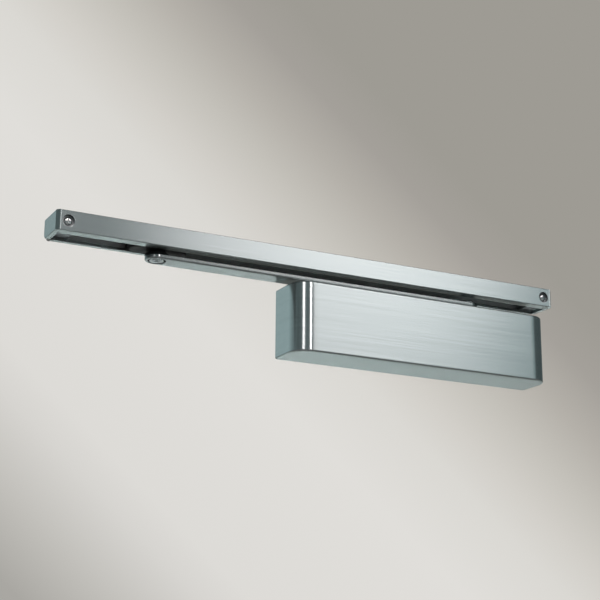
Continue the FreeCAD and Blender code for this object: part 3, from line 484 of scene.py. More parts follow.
# %% Build the cover
def cover_faces(rows, columns, mouth, start, turn):
    """Faces of one skin, and its free edge from the way in round the back and back again."""
    faces = grid(rows, columns, closed=False, start=start, turn=turn)
    top, bottom = loop_of(start + (rows - 1) * columns, columns), loop_of(start, columns)
    opening = loop_of(start + rows * columns, mouth)
    faces += facing([np.concatenate([top, opening]), bottom[::-1]], turn)
    right = start + np.arange(rows)[::-1] * columns + columns - 1
    left = start + np.arange(rows) * columns
    return faces, np.concatenate([opening[::-1], right, left])


outer, rows, mouth = cover_skin(0.0, COVER_EDGE)
columns = len(cover_path(0))
inner, _, _ = cover_skin(COVER_WALL, COVER_INNER_EDGE)
outer_faces, outer_rim = cover_faces(rows, columns, mouth, 0, False)
inner_faces, inner_rim = cover_faces(rows, columns, mouth, len(outer), True)
stitch = np.stack([outer_rim, np.roll(outer_rim, -1), np.roll(inner_rim, -1), inner_rim], -1).tolist()
cover_points, cover_faces_all = np.vstack([outer, inner]), outer_faces + inner_faces + stitch
print("free edge of the cover, points", len(outer_rim))

# %% Add the cover's catches
CATCH_DEEP, CATCH_ROOT, CATCH_FRONT, CATCH_BACK, CATCH_HALF = 0.9, 0.2, -13.0, -12.0, 8.0
for side in (-1, 1):
    inside = COVER_HALF - COVER_WALL
    near, far = sorted((side * (inside + CATCH_ROOT), side * (inside - CATCH_DEEP)))
    catch = np.array([(near, CATCH_FRONT), (far, CATCH_FRONT), (far, CATCH_BACK), (near, CATCH_BACK)])
    cover_faces_all += stack([catch, catch], start=len(cover_points))
    cover_points = np.vstack([cover_points, level(catch, -CATCH_HALF), level(catch, CATCH_HALF)])
build("cover_shell", cover_points, cover_faces_all, "cover", 40.0)

# %% [markdown]
# ## Guide rail
#
# The rail is a profile, drawn through a die: one section carried along X. The slot for the slider faces
# down. Its front has a round hole near each end, through which the screws are reached. The flat walls with
# holes are two faces each, above and below the line through the holes' centres. Each rim of a hole is
# broken by a tenth of a millimetre, which is all that a drill leaves.
#
# Over the last 2 mm the low back corner opens from a radius of 0.5 to 4.8 mm, to meet the round corner of
# the cap. So the section is drawn at four stations along the rail instead of two.

# %% Rail section
RAIL_LEFT, RAIL_RIGHT, CAP = -313.8, 126.2, 3.5
RAIL_FRONT, RAIL_BACK, RAIL_BOTTOM, RAIL_TOP, RAIL_WALL = -36.0, -6.0, 38.0, 53.8, 2.2
SLOT_FRONT, SLOT_BACK = -27.4, -10.2
INNER_FRONT, INNER_BACK = RAIL_FRONT + RAIL_WALL, RAIL_BACK - RAIL_WALL
INNER_BOTTOM, INNER_TOP = RAIL_BOTTOM + RAIL_WALL, RAIL_TOP - RAIL_WALL
RAIL_MIDDLE = (RAIL_BOTTOM + RAIL_TOP) / 2
SCREW_INSET, ACCESS, BACK_HOLE, HOLE_POINTS = 9.2, 4.6, 2.4, 48
BLEND, LOW_CORNER, LOW_CORNER_AT_CAP = 2.0, 0.5, 4.8


def round_path(corners, radii, steps=4, beside=0.15):
    """A closed path with rounded corners: points on the arc tangent to both sides, one beside each end."""
    corners, radii = np.array(corners, float), np.array(radii, float)
    sides = [np.roll(corners, shift, 0) - corners for shift in (1, -1)]
    before, after = (side / np.linalg.norm(side, axis=1)[:, None] for side in sides)
    t = np.linspace(0, math.pi / 2, steps + 1)[None, :, None]
    centre = corners + (before + after) * radii[:, None]
    arc = centre[:, None] - radii[:, None, None] * (after[:, None] * np.cos(t) + before[:, None] * np.sin(t))
    first = corners + before * (radii + beside)[:, None]
    last = corners + after * (radii + beside)[:, None]
    return np.concatenate([first[:, None], arc, last[:, None]], 1).reshape(-1, 2)


print("rounded square", round_path([(0, 0), (4, 0), (4, 4), (0, 4)], [1, 1, 1, 1], 2).shape)

# %% Faces with holes
def holed_face(upper, lower, holes, turn=False):
    """Two faces round a row of holes: upper runs right to left over the top, lower left to right underneath.
    Each hole's loop starts at its right and runs over the top; the holes come left to right."""
    over = [np.asarray(upper)] + [h[len(h) // 2::-1] for h in holes]
    under = [np.asarray(lower)] + [np.append(h[len(h) // 2:], h[0])[::-1] for h in holes[::-1]]
    return facing([np.concatenate(over), np.concatenate(under)], turn)


print("faces round one hole of four points", holed_face([7, 6], [0, 1], [np.arange(2, 6)]))

# %% Stations of the rail
corners = [(RAIL_FRONT, RAIL_BOTTOM), (SLOT_FRONT, RAIL_BOTTOM), (SLOT_FRONT, INNER_BOTTOM),
           (INNER_FRONT, INNER_BOTTOM), (INNER_FRONT, INNER_TOP), (INNER_BACK, INNER_TOP),
           (INNER_BACK, INNER_BOTTOM), (SLOT_BACK, INNER_BOTTOM), (SLOT_BACK, RAIL_BOTTOM),
           (RAIL_BACK, RAIL_BOTTOM), (RAIL_BACK, RAIL_TOP), (RAIL_FRONT, RAIL_TOP)]
STATIONS = [(RAIL_LEFT + CAP, LOW_CORNER_AT_CAP), (RAIL_LEFT + CAP + BLEND, LOW_CORNER),
            (RAIL_RIGHT - CAP - BLEND, LOW_CORNER), (RAIL_RIGHT - CAP, LOW_CORNER_AT_CAP)]
sections = [round_path(corners, [0.6, 0.4, 0.3, 0.3, 0.3, 0.3, 0.3, 0.3, 0.4, low_back, 0.6, 0.6])
            for _, low_back in STATIONS]
each = len(sections[0]) // len(corners)
# (place in the section, y, which way the section runs there)
WALLS = [(4 * each, INNER_FRONT, 1), (6 * each, INNER_BACK, -1), (10 * each, RAIL_BACK, 1),
         (12 * each, RAIL_FRONT, -1)]
sections = [np.insert(s, [at for at, _, _ in WALLS], [[y, RAIL_MIDDLE] for _, y, _ in WALLS], axis=0)
            for s in sections]
count = len(sections[0])
last = (len(STATIONS) - 1) * count
print("each section has", count, "points")

# %% Build the rail
rail_points = np.vstack([np.insert(s, 0, x, axis=1) for s, (x, _) in zip(sections, STATIONS)])
middles = [at + shift for shift, (at, _, _) in enumerate(WALLS)]
kept = np.array(grid(len(STATIONS), count))
touching = np.isin(kept[:, 0] % count, middles) | np.isin(kept[:, 1] % count, middles)
rail_faces = kept[~touching].tolist()
rail_faces += [loop_of(0, count)[::-1].tolist(), loop_of(last, count).tolist()]
around = rays(HOLE_POINTS)
holes = {middle: [] for middle in middles}
access_levels = [(ACCESS + 0.15, RAIL_FRONT), (ACCESS + 0.08, RAIL_FRONT), (ACCESS + 0.02, RAIL_FRONT + 0.02),
                 (ACCESS, RAIL_FRONT + 0.08), (ACCESS, INNER_FRONT)]
back_levels = [(BACK_HOLE, INNER_BACK), (BACK_HOLE, RAIL_BACK)]
for x in (RAIL_LEFT + SCREW_INSET, RAIL_RIGHT - SCREW_INSET):
    for near, far, levels in ((middles[3], middles[0], access_levels), (middles[1], middles[2], back_levels)):
        start = len(rail_points)
        loops = [np.insert(circle(radius, around, (x, RAIL_MIDDLE)), 1, y, axis=1) for radius, y in levels]
        rail_points = np.vstack([rail_points] + loops)
        rail_faces += grid(len(levels), HOLE_POINTS, start=start)
        holes[near].append(loop_of(start, HOLE_POINTS))
        holes[far].append(loop_of(start + (len(levels) - 1) * HOLE_POINTS, HOLE_POINTS))
for middle, (_, _, climb) in zip(middles, WALLS):
    above, below = ((middle + step) % count + count * np.arange(len(STATIONS)) for step in (climb, -climb))
    rail_faces += holed_face([last + middle, *above[::-1], middle], [middle, *below, last + middle],
                             holes[middle], turn=climb > 0)
build("rail_extrusion", rail_points, rail_faces, "guide_rail", finish=rail_steel)

# %% [markdown]
# ## Rail caps
#
# A plate closes each end of the rail, flush with it. Its front corner is cut at 45 degrees, 2.5 mm each
# way, and its low back corner is rounded by 5 mm. A fine seam shows where the rail begins. So the plate is
# a stack of sections, each a rounded rectangle across the rail, with the front set back further the nearer
# the section is to the end. The last two sections draw in by a tenth of a millimetre, which is the seam.
# Behind the plate a plug fits into the rail's channel.

# %% Build the caps
def cap_section(front, inset):
    """The cap across the rail, in Y and Z: its front moved back by one inset, the other sides by another."""
    near, far, low, high = RAIL_FRONT + front, RAIL_BACK - inset, RAIL_BOTTOM + inset, RAIL_TOP - inset
    corners = [(near, low), (far, low), (far, high), (near, high)]
    return round_path(corners, [0.4, CAP_LOW_CORNER - inset, 0.8, 0.4], 8, 0.1)


def plug_outline(left, right, inset):
    """The plug's outline in X and Y: PLUG_GAP clear of the rail's walls."""
    front, back = INNER_FRONT + PLUG_GAP + inset, INNER_BACK - PLUG_GAP - inset
    left, right = left + inset, right - inset
    return round_path([(left, front), (right, front), (right, back), (left, back)], [0.15] * 4, 2, 0.02)


CHAMFER, CAP_EDGE, CAP_LOW_CORNER = 2.5, 0.8, 5.0
PLUG_REACH, PLUG_ROOT, PLUG_GAP = 1.0, 0.2, 0.05
PLUG_LEVELS = [(0.15, 40.25), (0.0, 40.4), (0.0, 51.4), (0.15, 51.55)]
# (depth from the end, set back of the front, inset of the other sides); the end's loop is 0.3 mm further in
cap_levels = [(deep, max(CHAMFER - deep, 0) + 0.3 * (deep == 0), inset)
              for inset, deep in corner_levels(CAP_EDGE)]
cap_levels += [(CHAMFER, 0.0, 0.0), (CAP - 0.2, 0.0, 0.0), (CAP - 0.06, 0.02, 0.02), (CAP, 0.1, 0.1)]
for side, end, name in ((-1, RAIL_LEFT, "left_rail_cap"), (1, RAIL_RIGHT, "right_rail_cap")):
    plate = [np.insert(cap_section(front, inset), 0, end - side * deep, axis=1)
             for deep, front, inset in cap_levels]
    left, right = sorted((end - side * (CAP - PLUG_ROOT), end - side * (CAP + PLUG_REACH)))
    plug = [level(plug_outline(left, right, inset), z) for inset, z in PLUG_LEVELS]
    faces = stack(plate, turn=side > 0) + stack(plug, start=sum(map(len, plate)))
    build(name + "_plate", np.vstack(plate + plug), faces, name)

# %% [markdown]
# ## Arm
#
# The arm is a flat steel bar, punched to shape and tumbled, so its edges are soft. Its hub has the square
# for the spindle, and its eye a bush from above and a round recess from below for the pin's clip. The
# outline is worked out again for each inset of the rounded edge, which keeps the corner where the eye meets
# the bar exact.
#
# Punching leaves no upright wall: above a faint ridge it leans in by 1.5 degrees, and below, where the
# sheet broke away, by 18. From below the eye sees a bright line with a dark one under it.

# %% Build the arm
PIVOT_X, ARM_BOTTOM, ARM_TOP, ARM_HALF, EYE_RADIUS = -229.0, 30.9, 34.5, 8.4, 9.4
ARM_EDGE, ARM_RIDGE, RIDGE_HALF, LOW_DRAFT, HIGH_DRAFT = 0.4, 32.1, 0.06, math.radians(18), math.radians(1.5)
RECESS, BUSH_SEAT, SHOULDER, SQUARE_HALF, EYE_POINTS = 6.9, 5.2, 33.2, 4.55, 64


def arm_outline(inset):
    """Half over the top: hub arc, straight, half ellipse round the eye; then its mirror image."""
    half, eye = ARM_HALF - inset, EYE_RADIUS - inset
    hub = np.linspace(0, math.pi / 2, 17)
    arc = np.linspace(math.pi / 2, math.pi, 25)
    top = np.vstack([
        np.column_stack([SPINDLE_X + half * np.cos(hub), half * np.sin(hub)]),
        [[SPINDLE_X - 0.5, half], [PIVOT_X + 0.5, half]],
        np.column_stack([PIVOT_X + eye * np.cos(arc), half * np.sin(arc)]),
    ])
    return np.vstack([top, top[-2:0:-1] * [1, -1]]) + [0, SPINDLE_Y]


arm_levels = slab_levels(ARM_BOTTOM, ARM_TOP, ARM_EDGE)
ridge = [[0, ARM_RIDGE - RIDGE_HALF], [0, ARM_RIDGE + RIDGE_HALF]]
arm_levels = np.insert(arm_levels, len(arm_levels) // 2, ridge, axis=0)
off_ridge = arm_levels[:, 1] - ARM_RIDGE
lean = np.where(off_ridge < 0, -math.tan(LOW_DRAFT), math.tan(HIGH_DRAFT))
arm_levels[:, 0] += lean * off_ridge
arm_loops = slab(arm_outline, arm_levels)
print("levels up the arm's edge", len(arm_levels))

# %% Cut the arm's holes
PIN, HUB = (PIVOT_X, SPINDLE_Y), (SPINDLE_X, SPINDLE_Y)
around = rays(EYE_POINTS)
eye_profile = [(RECESS + 0.4, ARM_BOTTOM), (RECESS + 0.3, ARM_BOTTOM), (RECESS + 0.08, ARM_BOTTOM + 0.12),
               (RECESS, ARM_BOTTOM + 0.35), (RECESS, SHOULDER), (BUSH_SEAT, SHOULDER), (BUSH_SEAT, ARM_TOP)]
eye_loops = rings(eye_profile, around, PIN)
square = ring(lambda p: rounded_box(p, HUB, (SQUARE_HALF, SQUARE_HALF), 0.4), around, HUB)
square_loops = [level(square, z) for z in (ARM_BOTTOM, ARM_TOP)]
count = len(arm_loops[0])
eye_start = len(arm_loops) * count
square_start = eye_start + len(eye_loops) * EYE_POINTS
arm_faces = grid(len(arm_loops), count)
arm_faces += grid(len(eye_loops), EYE_POINTS, start=eye_start, turn=True)
arm_faces += grid(2, EYE_POINTS, start=square_start, turn=True)
for row, eye_row, square_row, turn in ((0, 0, 0, True), (len(arm_loops) - 1, len(eye_loops) - 1, 1, False)):
    outline = loop_of(row * count, count)
    arm_holes = [loop_of(start, EYE_POINTS) for start in (eye_start + eye_row * EYE_POINTS,
                                                          square_start + square_row * EYE_POINTS)]
    lower = np.append(outline[count // 2:], outline[0])
    arm_faces += holed_face(outline[:count // 2 + 1], lower, arm_holes, turn)
build("arm_bar", np.vstack(arm_loops + eye_loops + square_loops), arm_faces, "slide_arm", 25.0)

# %% [markdown]
# ## Slider
#
# The slider is one moulding in black acetal: a round neck on the arm's bush, a long foot that fills the
# slot, and a wider head inside the channel. Seen from its pin every one of these shapes is a single ring,
# so one set of rays gives all the loops, and the stack runs from the bore out, up, in and down again.

# %% Outlines of the slider
slider_rays = rays(144, 0.75)


def foot(inset):
    """Stadium that fills the slot."""
    return ring(lambda p: rounded_box(p, PIN, (22.8, 8.3), 8.3), slider_rays, PIN, inset)


def head(inset):
    """Rounded rectangle in the channel, further forward than the pin."""
    return ring(lambda p: rounded_box(p, (PIVOT_X, -21.0), (22.8, 12.5), 4.0), slider_rays, PIN, inset)


print("the slider's foot is", np.ptp(foot(0.0), axis=0).round(2).tolist(), "mm")

# %% Build the slider
slider_loops = rings([(4.2, 36.05), (6.1, 36.05), (6.38, 36.17), (6.5, 36.45), (6.5, 37.6), (6.62, 37.93),
                      (6.95, 38.05)], slider_rays, PIN)
slider_loops += slab(foot, [(0.62, 38.05), (0.5, 38.05), (0.15, 38.2), (0.0, 38.55), (0.0, 40.5)])
slider_loops += slab(head, [(0.35, 40.5), (0.1, 40.6), (0.0, 40.85), (0.0, 46.4), (0.18, 46.82), (0.6, 47.0),
                            (0.75, 47.0)])
slider_loops += rings([(6.75, 47.0), (6.55, 46.8), (6.55, 45.0), (4.05, 45.0), (4.05, 36.2)],
                      slider_rays, PIN)
build_stack("slider_body", slider_loops, "slider_block", smooth=35.0, ends=False)

# %% [markdown]
# ## Pin, bush and clip
#
# The pin and the bush are turned parts, so each is a list of radii and heights. The pin's end has a drilled
# centre and a groove, in which the spring clip sits with its two lugs towards the front. The clip is
# stamped from sheet: an open ring, broader at the back, where it bends most. So the middle of its outer arc
# lies 0.7 mm further back.

# %% Turned parts at the eye
turned = rays(64)
CLIP_LOW, CLIP_HIGH = 31.3, 32.1
pin_profile = [(0.3, 32.45), (1.1, 31.95), (1.1, 31.5), (2.3, 31.35), (2.5, 31.0), (2.6, 30.95),
               (3.68, 30.95), (3.9, 31.03), (3.98, 31.22), (3.98, CLIP_LOW), (3.2, CLIP_LOW),
               (3.2, CLIP_HIGH), (3.98, CLIP_HIGH), (3.98, 45.0), (6.2, 45.0), (6.42, 45.08), (6.5, 45.3),
               (6.5, 46.6), (6.38, 46.88), (6.1, 47.0)]
build_stack("hinge_pin", rings(pin_profile, turned, PIN), "pivot_pin")

bush_profile = [(4.2, 32.2), (4.95, 32.2), (5.18, 32.43), (5.18, 34.5), (9.1, 34.5), (9.31, 34.59),
                (9.4, 34.8), (9.4, 35.7), (9.31, 35.91), (9.1, 36.0), (4.2, 36.0), (4.02, 35.82),
                (4.02, 32.38)]
build_stack("eye_bush", rings(bush_profile, turned, PIN), "arm_bush", ends=False)

# %% Spring clip
def clip_outline():
    """Open ring with two lugs: outer arc from the right lug round the back to the left, then inner arc."""
    reach, lug, gap, outer_radius, inner_radius, further_back = 6.6, 1.65, 0.45, 5.4, 3.25, 0.7
    side = math.acos(lug / outer_radius)
    wide = np.linspace(-side, math.pi + side, 49)
    edge = math.acos(gap / inner_radius)
    narrow = np.linspace(math.pi + edge, -edge, 41)
    return np.vstack([
        [[lug, -reach]], outer_radius * arc_points(wide) + [0, further_back],
        [[-lug, -reach], [-gap, -reach]], inner_radius * arc_points(narrow), [[gap, -reach]],
    ]) + np.array(PIN)


clip_ring = build_stack("clip_ring", [level(clip_outline(), z) for z in (CLIP_LOW, CLIP_HIGH)],
                        "retaining_clip")
soften = clip_ring.modifiers.new("stamped_edges", "BEVEL")
soften.width, soften.segments, soften.limit_method = 0.12 * MM, 2, "ANGLE"
soften.harden_normals = True

# %% [markdown]
# ## Screws
#
# The screw on the spindle has a low head with a hexagon socket. The two screws of the rail are pan head
# screws with a cross recess and a coarse thread. Their heads are plated bright, so that they catch the
# lamps in their dark holes. A thread is a turned shape whose radius also depends on the angle: a ridge
# wherever height over pitch less angle over a full turn is halfway between two whole numbers.

# %% Outlines of the recesses
def hexagon(p, centre, half_across):
    """Distance to a hexagon: the largest of three projections, less half the width across its flats."""
    turn = np.radians([0, 60, 120])
    along = np.abs((p - np.array(centre)) @ np.array([np.cos(turn), np.sin(turn)]))
    return along.max(1) - half_across


def cross(p, half_long, half_wide):
    """Distance to a cross of two bars with softened ends."""
    level_bar = rounded_box(p, (0, 0), (half_long, half_wide), 0.2)
    return np.minimum(level_bar, rounded_box(p, (0, 0), (half_wide, half_long), 0.2))


print("the cross recess at its middle", cross(np.zeros((1, 2)), 1.75, 0.5), "mm")

# %% Build the arm's screw
screw_rays = rays(72)
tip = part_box("arm_screw")[0].z / MM
screw_profile = [(2.5, tip), (2.95, tip + 0.45), (2.95, 35.5), (5.2, 35.5), (5.42, 35.58), (5.5, 35.8),
                 (5.5, 36.7), (5.35, 37.2), (4.95, 37.45), (4.5, 37.5)]
screw_loops = rings(screw_profile, screw_rays, HUB)
screw_loops += [level(ring(lambda p: hexagon(p, HUB, half), screw_rays, HUB), z)
                for half, z in ((2.2, 37.5), (2.0, 37.3), (2.0, 36.1))]
build_stack("arm_screw_head", screw_loops, "arm_screw", finish=screw_plate)

# %% Build the rail's screws
SCREW_POINTS = 40
HEAD_PROFILE = [(1.8, 5.5), (1.8, 32.4), (2.85, 32.4), (3.0, 32.55), (3.0, 33.6), (2.94, 34.0), (2.75, 34.4),
                (2.4, 34.75), (1.95, 34.97), (1.9, 35.0)]
# (half length and half width of the cross's bars, height)
RECESS_STEPS = [(1.75, 0.5, 35.0), (1.62, 0.4, 34.6), (1.0, 0.3, 33.5)]


def wood_screw(x):
    """Loops of one rail screw, its axis up: tip, helical thread, neck, domed head, cross recess; and its
    points turned towards the front. The thread's radius is core + (crest - core) * ridge."""
    angles = rays(SCREW_POINTS)
    pitch, crest, core = 1.8, 2.1, 1.4
    heights = np.linspace(-15.6, 5.4, 105)
    phase = (heights[:, None] / pitch - angles / (2 * math.pi)) % 1
    ridge = (1 - np.abs(2 * phase - 1)) ** 1.6
    taper = np.clip((heights[:, None] + 16.0) / 4.0, 0.08, 1)
    radius = (core + (crest - core) * ridge) * taper
    loops = [level(r[:, None] * arc_points(angles), h) for r, h in zip(radius, heights)]
    loops += rings(HEAD_PROFILE, angles, (0, 0))
    loops += [level(ring(lambda p: cross(p, long, wide), angles, (0, 0)), h)
              for long, wide, h in RECESS_STEPS]
    points = np.vstack(loops)
    return loops, np.column_stack([x + points[:, 0], -points[:, 2], RAIL_MIDDLE + points[:, 1]])


left_loops, left_points = wood_screw(RAIL_LEFT + SCREW_INSET)
_, right_points = wood_screw(RAIL_RIGHT - SCREW_INSET)
build("rail_screw_pair", np.vstack([left_points, right_points]),
      stack(left_loops) + stack(left_loops, start=len(left_points)), "rail_screws", 40.0, screw_plate)

# %% [markdown]
# ## Closing spring
#
# The closing spring is oiled spring wire, wound with 11 turns and ground flat at both ends. The piston
# presses it together as the door opens. It could be a new helix, but the imported one is already exact, so a
# copy of its mesh, its doubled points merged, stands for it.

# %% Copy the closing spring
SEAT_X, SPRING_LENGTH, PISTON_TRAVEL, SPARE, SAME_POINT = -83.9, 97.45, 7.4, 0.2, 0.0001
wire = frame["nodes"]["main_spring"].data.copy()
merged = bmesh.new()
merged.from_mesh(wire)
bmesh.ops.remove_doubles(merged, verts=merged.verts, dist=SAME_POINT * MM)
merged.to_mesh(wire)
merged.free()
spring = place_in_scene("closing_spring_wire", wire)
stand_for(spring, "main_spring")
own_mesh(spring)
print("closing spring", round(spring.dimensions.x / MM, 2), "mm long at rest")

# %% [markdown]
# ## Camera
#
# The photograph looks up at the closer from in front and from the left. The view was solved from the
# straight edges of the rail and the cover: a long lens about 1.2 m away, turned 27 degrees from the front
# and 16 degrees upwards. The rows of the view matrix are the camera's right, down and forward directions.

# %% Place the camera
CAMERA_AT = np.array([-605.452, -993.257, -295.475]) * MM
FOCAL_PX, IMAGE_PX = 1442.679, 600
TURN, TILT, ROLL = -0.47251, -0.27826, 0.00697


def turn_z(a):
    """Rotation by a about Z."""
    return np.array([[math.cos(a), -math.sin(a), 0], [math.sin(a), math.cos(a), 0], [0, 0, 1]])


def turn_x(a):
    """Rotation by a about X."""
    return np.array([[1, 0, 0], [0, math.cos(a), -math.sin(a)], [0, math.sin(a), math.cos(a)]])


LOOK_LEVEL = np.array([[1, 0, 0], [0, 0, -1], [0, 1, 0]], float)
right, down, forward = turn_z(ROLL) @ turn_x(TILT) @ LOOK_LEVEL @ turn_z(TURN).T
camera_data = bpy.data.cameras.new("photo_view")
camera_data.sensor_width = 36.0
camera_data.lens = FOCAL_PX * camera_data.sensor_width / IMAGE_PX
camera_data.clip_start, camera_data.clip_end = 0.01, 50.0
pose = np.eye(4)
pose[:3] = np.column_stack([right, -down, -forward, CAMERA_AT])
bpy.context.scene.camera = place_in_scene("photo_view", camera_data, pose)
print("lens", round(camera_data.lens, 2), "mm, looking along", forward.round(3))

# %% [markdown]
# ## Light
#
# Metal shows what stands round it, so the lamps are placed by their mirror images. The image of a round
# softbox, up on the right, gives the fronts their light middle and darker ends. Two tall strips draw the
# white lines on the cover's rounded corner. A softbox that faces down lights the floor behind, which the
# undersides reflect. The near lamp stands close enough for its image to move along the rail, and the strips
# stand so far off that it doesn't.

# %% Softboxes
def direction(azimuth, elevation):
    """Unit vector at an azimuth from -Y towards +X and an elevation, both in degrees."""
    a, e = math.radians(azimuth), math.radians(elevation)
    return np.array([math.sin(a) * math.cos(e), -math.cos(a) * math.cos(e), math.sin(e)])


def softbox(name, centre, target, width, height, radiance, shape="RECTANGLE", colour="#ffffff"):
    """Area light turned to a target. Its power is radiance * pi * area; a disk has pi / 4 of its box's."""
    data = bpy.data.lights.new(name, "AREA")
    data.shape, data.size, data.size_y = shape, width, height
    data.color = linear(colour)[:3]
    data.energy = radiance * math.pi * width * height * (math.pi / 4 if shape == "ELLIPSE" else 1)
    back = np.array(centre, float) - np.array(target, float)
    back /= np.linalg.norm(back)
    side = np.cross([0, 0, 1], back)
    side /= np.linalg.norm(side)
    pose = np.eye(4)
    pose[:3] = np.column_stack([side, np.cross(back, side), back, centre])
    print(name, "power", round(data.energy, 2), "W")
    return place_in_scene(name, data, pose)


CORNER, NEAR, FAR = np.array([-0.1, -0.03, 0.0]), 3.5, 5.5
WARM, COOL = "#fff1f1", "#ecfeff"
BEHIND, BEHIND_SPREAD = (0.5, 1.6, 1.75), math.radians(60)
# (name, distance, azimuth, elevation, width and height as shares of the distance, radiance, shape)
LAMPS = [("key_softbox", NEAR, 30.9, 28.4, 0.365, 0.44, 3.35, "ELLIPSE"),
         ("left_strip", FAR, -38.0, 30.0, 0.20, 0.42, 8.5, "RECTANGLE"),
         ("right_strip", FAR, 6.0, 30.0, 0.13, 0.42, 15.0, "RECTANGLE")]
for name, off, azimuth, elevation, wide, high, radiance, shape in LAMPS:
    centre = CORNER + off * direction(azimuth, elevation)
    softbox(name, centre, CORNER, wide * off, high * off, radiance, shape, WARM)
behind = softbox("back_softbox", BEHIND, (BEHIND[0], BEHIND[1] + 0.0001, 0.0), 0.9, 0.9, 7.5, colour=COOL)
behind.data.spread = BEHIND_SPREAD

# %% [markdown]
# ## Walls
#
# The rest of what the metal reflects is the room: grey walls, lighter towards the lamps and behind, dark on
# the right. The world gives them as one colour ramp over the azimuth, dim above, where the ceiling is, and
# darker below the horizon. A real studio would do it with flags and cards.

# %% Walls of the studio
# (azimuth in degrees from the front, towards the right; brightness)
WALLS_SEEN = [(-180, 0.42), (-163, 0.43), (-154, 0.76), (-136, 0.70), (-118, 0.52), (-104, 0.37), (-88, 0.34),
              (-74, 0.18), (-58, 0.22), (-20, 0.26), (8, 0.2), (19, 0.2), (24, 0.36), (33, 0.6), (39.5, 0.72),
              (43, 0.16), (100, 0.12), (160, 0.30), (180, 0.42)]
WALL_TINT, BELOW_HORIZON, CEILING = (0.82, 1.0, 1.02), (0.13, 0.15, 0.15, 1.0), 0.35
HORIZON, CEILING_FROM = (-0.05, 0.05), (0.4, 0.8)


def fill_ramp(ramp, stops):
    """Sets a colour ramp's stops from (position, colour) pairs; its own two become the first and the last."""
    elements = ramp.color_ramp.elements
    for k, (at, colour) in enumerate(stops):
        stop = elements[0] if k == 0 else elements[-1] if k == len(stops) - 1 else elements.new(at)
        stop.position, stop.color = at, colour


world = bpy.data.worlds.new("studio")
world.use_nodes = True
tree = world.node_tree
axes = add(tree, "SeparateXYZ", {"Vector": add(tree, "TexCoord").outputs["Generated"]})
forwards = compute(tree, "MULTIPLY", axes.outputs["Y"], -1.0)
azimuth = compute(tree, "ARCTAN2", axes.outputs["X"], forwards)
walls = add(tree, "ValToRGB", {"Fac": span(tree, azimuth, -math.pi, math.pi)})
fill_ramp(walls, [((angle + 180) / 360, (*(tint * shade for tint in WALL_TINT), 1.0))
                  for angle, shade in WALLS_SEEN])
above = span(tree, axes.outputs["Z"], *HORIZON)
seen = blend(tree, above, BELOW_HORIZON, walls.outputs["Color"])
strength = span(tree, axes.outputs["Z"], *CEILING_FROM, 1.0, CEILING)
background = tree.nodes["Background"].inputs
tree.links.new(seen, background["Color"])
tree.links.new(strength, background["Strength"])
bpy.context.scene.world = world
print("stops round the horizon", len(WALLS_SEEN))

# %% [markdown]
# ## Backdrop
#
# Behind the closer hangs a studio backdrop. It is not lit by the lamps but glows with painted light: a pale
# band of painted light runs across it, from top left to bottom right. It stands square to the photo's view,
# so its colour is a ramp along one direction in its plane.

# %% Stage pieces
def stage_plane(name, centre, across, along, material):
    """A rectangle from its centre and two half sides, in metres, marked as stage."""
    centre, across, along = (np.array(v, float) for v in (centre, across, along))
    points = [centre + a * across + b * along for a, b in ((-1, -1), (1, -1), (1, 1), (-1, 1))]
    mesh = bpy.data.meshes.new(name)
    mesh.from_pydata(np.array(points).tolist(), [], [range(4)])
    mesh.materials.append(material)
    place_in_scene(name, mesh)
    print(name, "corners", len(mesh.vertices))


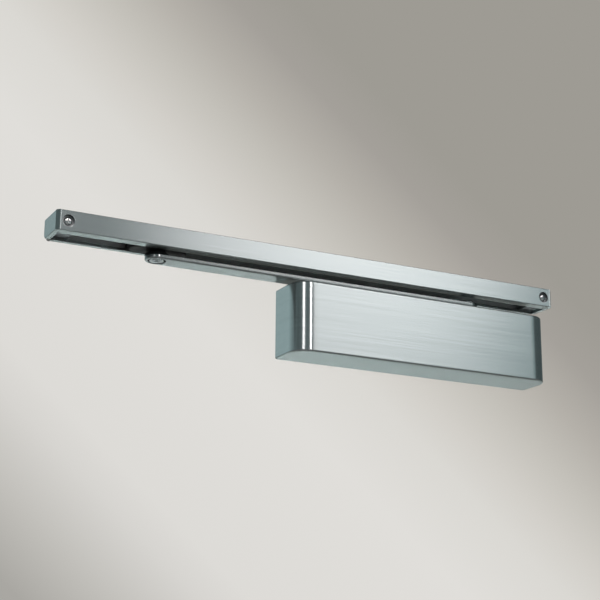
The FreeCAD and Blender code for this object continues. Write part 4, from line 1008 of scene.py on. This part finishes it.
# %% Backdrop
BACKDROP_DEPTH, BACKDROP_HALF = 3.2, (1.2, 0.9)
PAINTED_LIGHT_BAND = [(-550, "#a9a7a2"), (-465, "#c0beb9"), (-370, "#d6d4d0"), (-320, "#dddbd7"), (-100, "#e0deda"),
        (0, "#dad8d3"), (50, "#d2cfc9"), (110, "#c4c1ba"), (170, "#b4b0a9"), (230, "#a4a09a"),
        (290, "#9e9b94")]
STEEPNESS = 0.95
slope = FOCAL_PX / BACKDROP_DEPTH * (right - STEEPNESS * down)
offset = IMAGE_PX / 2 * (1 - STEEPNESS) - slope @ CAMERA_AT
material, tree, to_surface = new_material("glowing_backdrop_painted_light")
spot = add(tree, "TexCoord").outputs["Object"]
across = add(tree, "VectorMath", {0: spot, 1: slope.tolist()}, operation="DOT_PRODUCT")
low_end, high_end = PAINTED_LIGHT_BAND[0][0], PAINTED_LIGHT_BAND[-1][0]
along = span(tree, across.outputs["Value"], low_end - offset, high_end - offset)
ramp = add(tree, "ValToRGB", {"Fac": along})
fill_ramp(ramp, [((at - low_end) / (high_end - low_end), linear(colour)) for at, colour in PAINTED_LIGHT_BAND])
# painted light: the backdrop glows with the ramp's tones instead of being lit
to_surface(add(tree, "Emission", {"Color": ramp.outputs["Color"], "Strength": 1.0}))
stage_plane("backdrop", CAMERA_AT + forward * BACKDROP_DEPTH, right * BACKDROP_HALF[0],
            down * BACKDROP_HALF[1], material)

# %% [markdown]
# ## Floor
#
# The floor is pale, with painted shade in front: its colour turns darker towards the front, standing for
# where the studio's own light doesn't reach it. It has one side only: seen from below it is open, so that it
# never hides the closer from a camera that looks up at it.

# %% Floor
FLOOR_Z, FRONT_PAINTED_SHADE, PALE_TONES, PALE_FROM = -0.5, "#a3a2a0", ("#c9c8c6", "#d1d0ce"), 0.8
material, tree, to_surface = new_material("pale_floor")
spot = add(tree, "TexCoord").outputs["Object"]
pale = blend(tree, noise_at(tree, spot, 1.5, 3.0), *map(linear, PALE_TONES))
depth = add(tree, "SeparateXYZ", {"Vector": spot})
# painted shade: the floor's colour darkens from pale behind to grey in front
further = span(tree, depth.outputs["Y"], 0.0, PALE_FROM, interpolation_type="SMOOTHSTEP")
colour = blend(tree, further, linear(FRONT_PAINTED_SHADE), pale)
shader = add(tree, "BsdfPrincipled", {"Base Color": colour, "Roughness": 0.9})
underside = add(tree, "NewGeometry").outputs["Backfacing"]
clear = add(tree, "BsdfTransparent")
to_surface(add(tree, "MixShader", {0: underside, 1: shader.outputs[0], 2: clear.outputs[0]}))
stage_plane("floor", (0, 0.8, FLOOR_Z), (4, 0, 0), (0, 3.2, 0), material)

# %% [markdown]
# ## Finish
#
# The view transform stays plain, so that colours render as written.

# %% Finish
bpy.context.scene.view_settings.view_transform = "Standard"
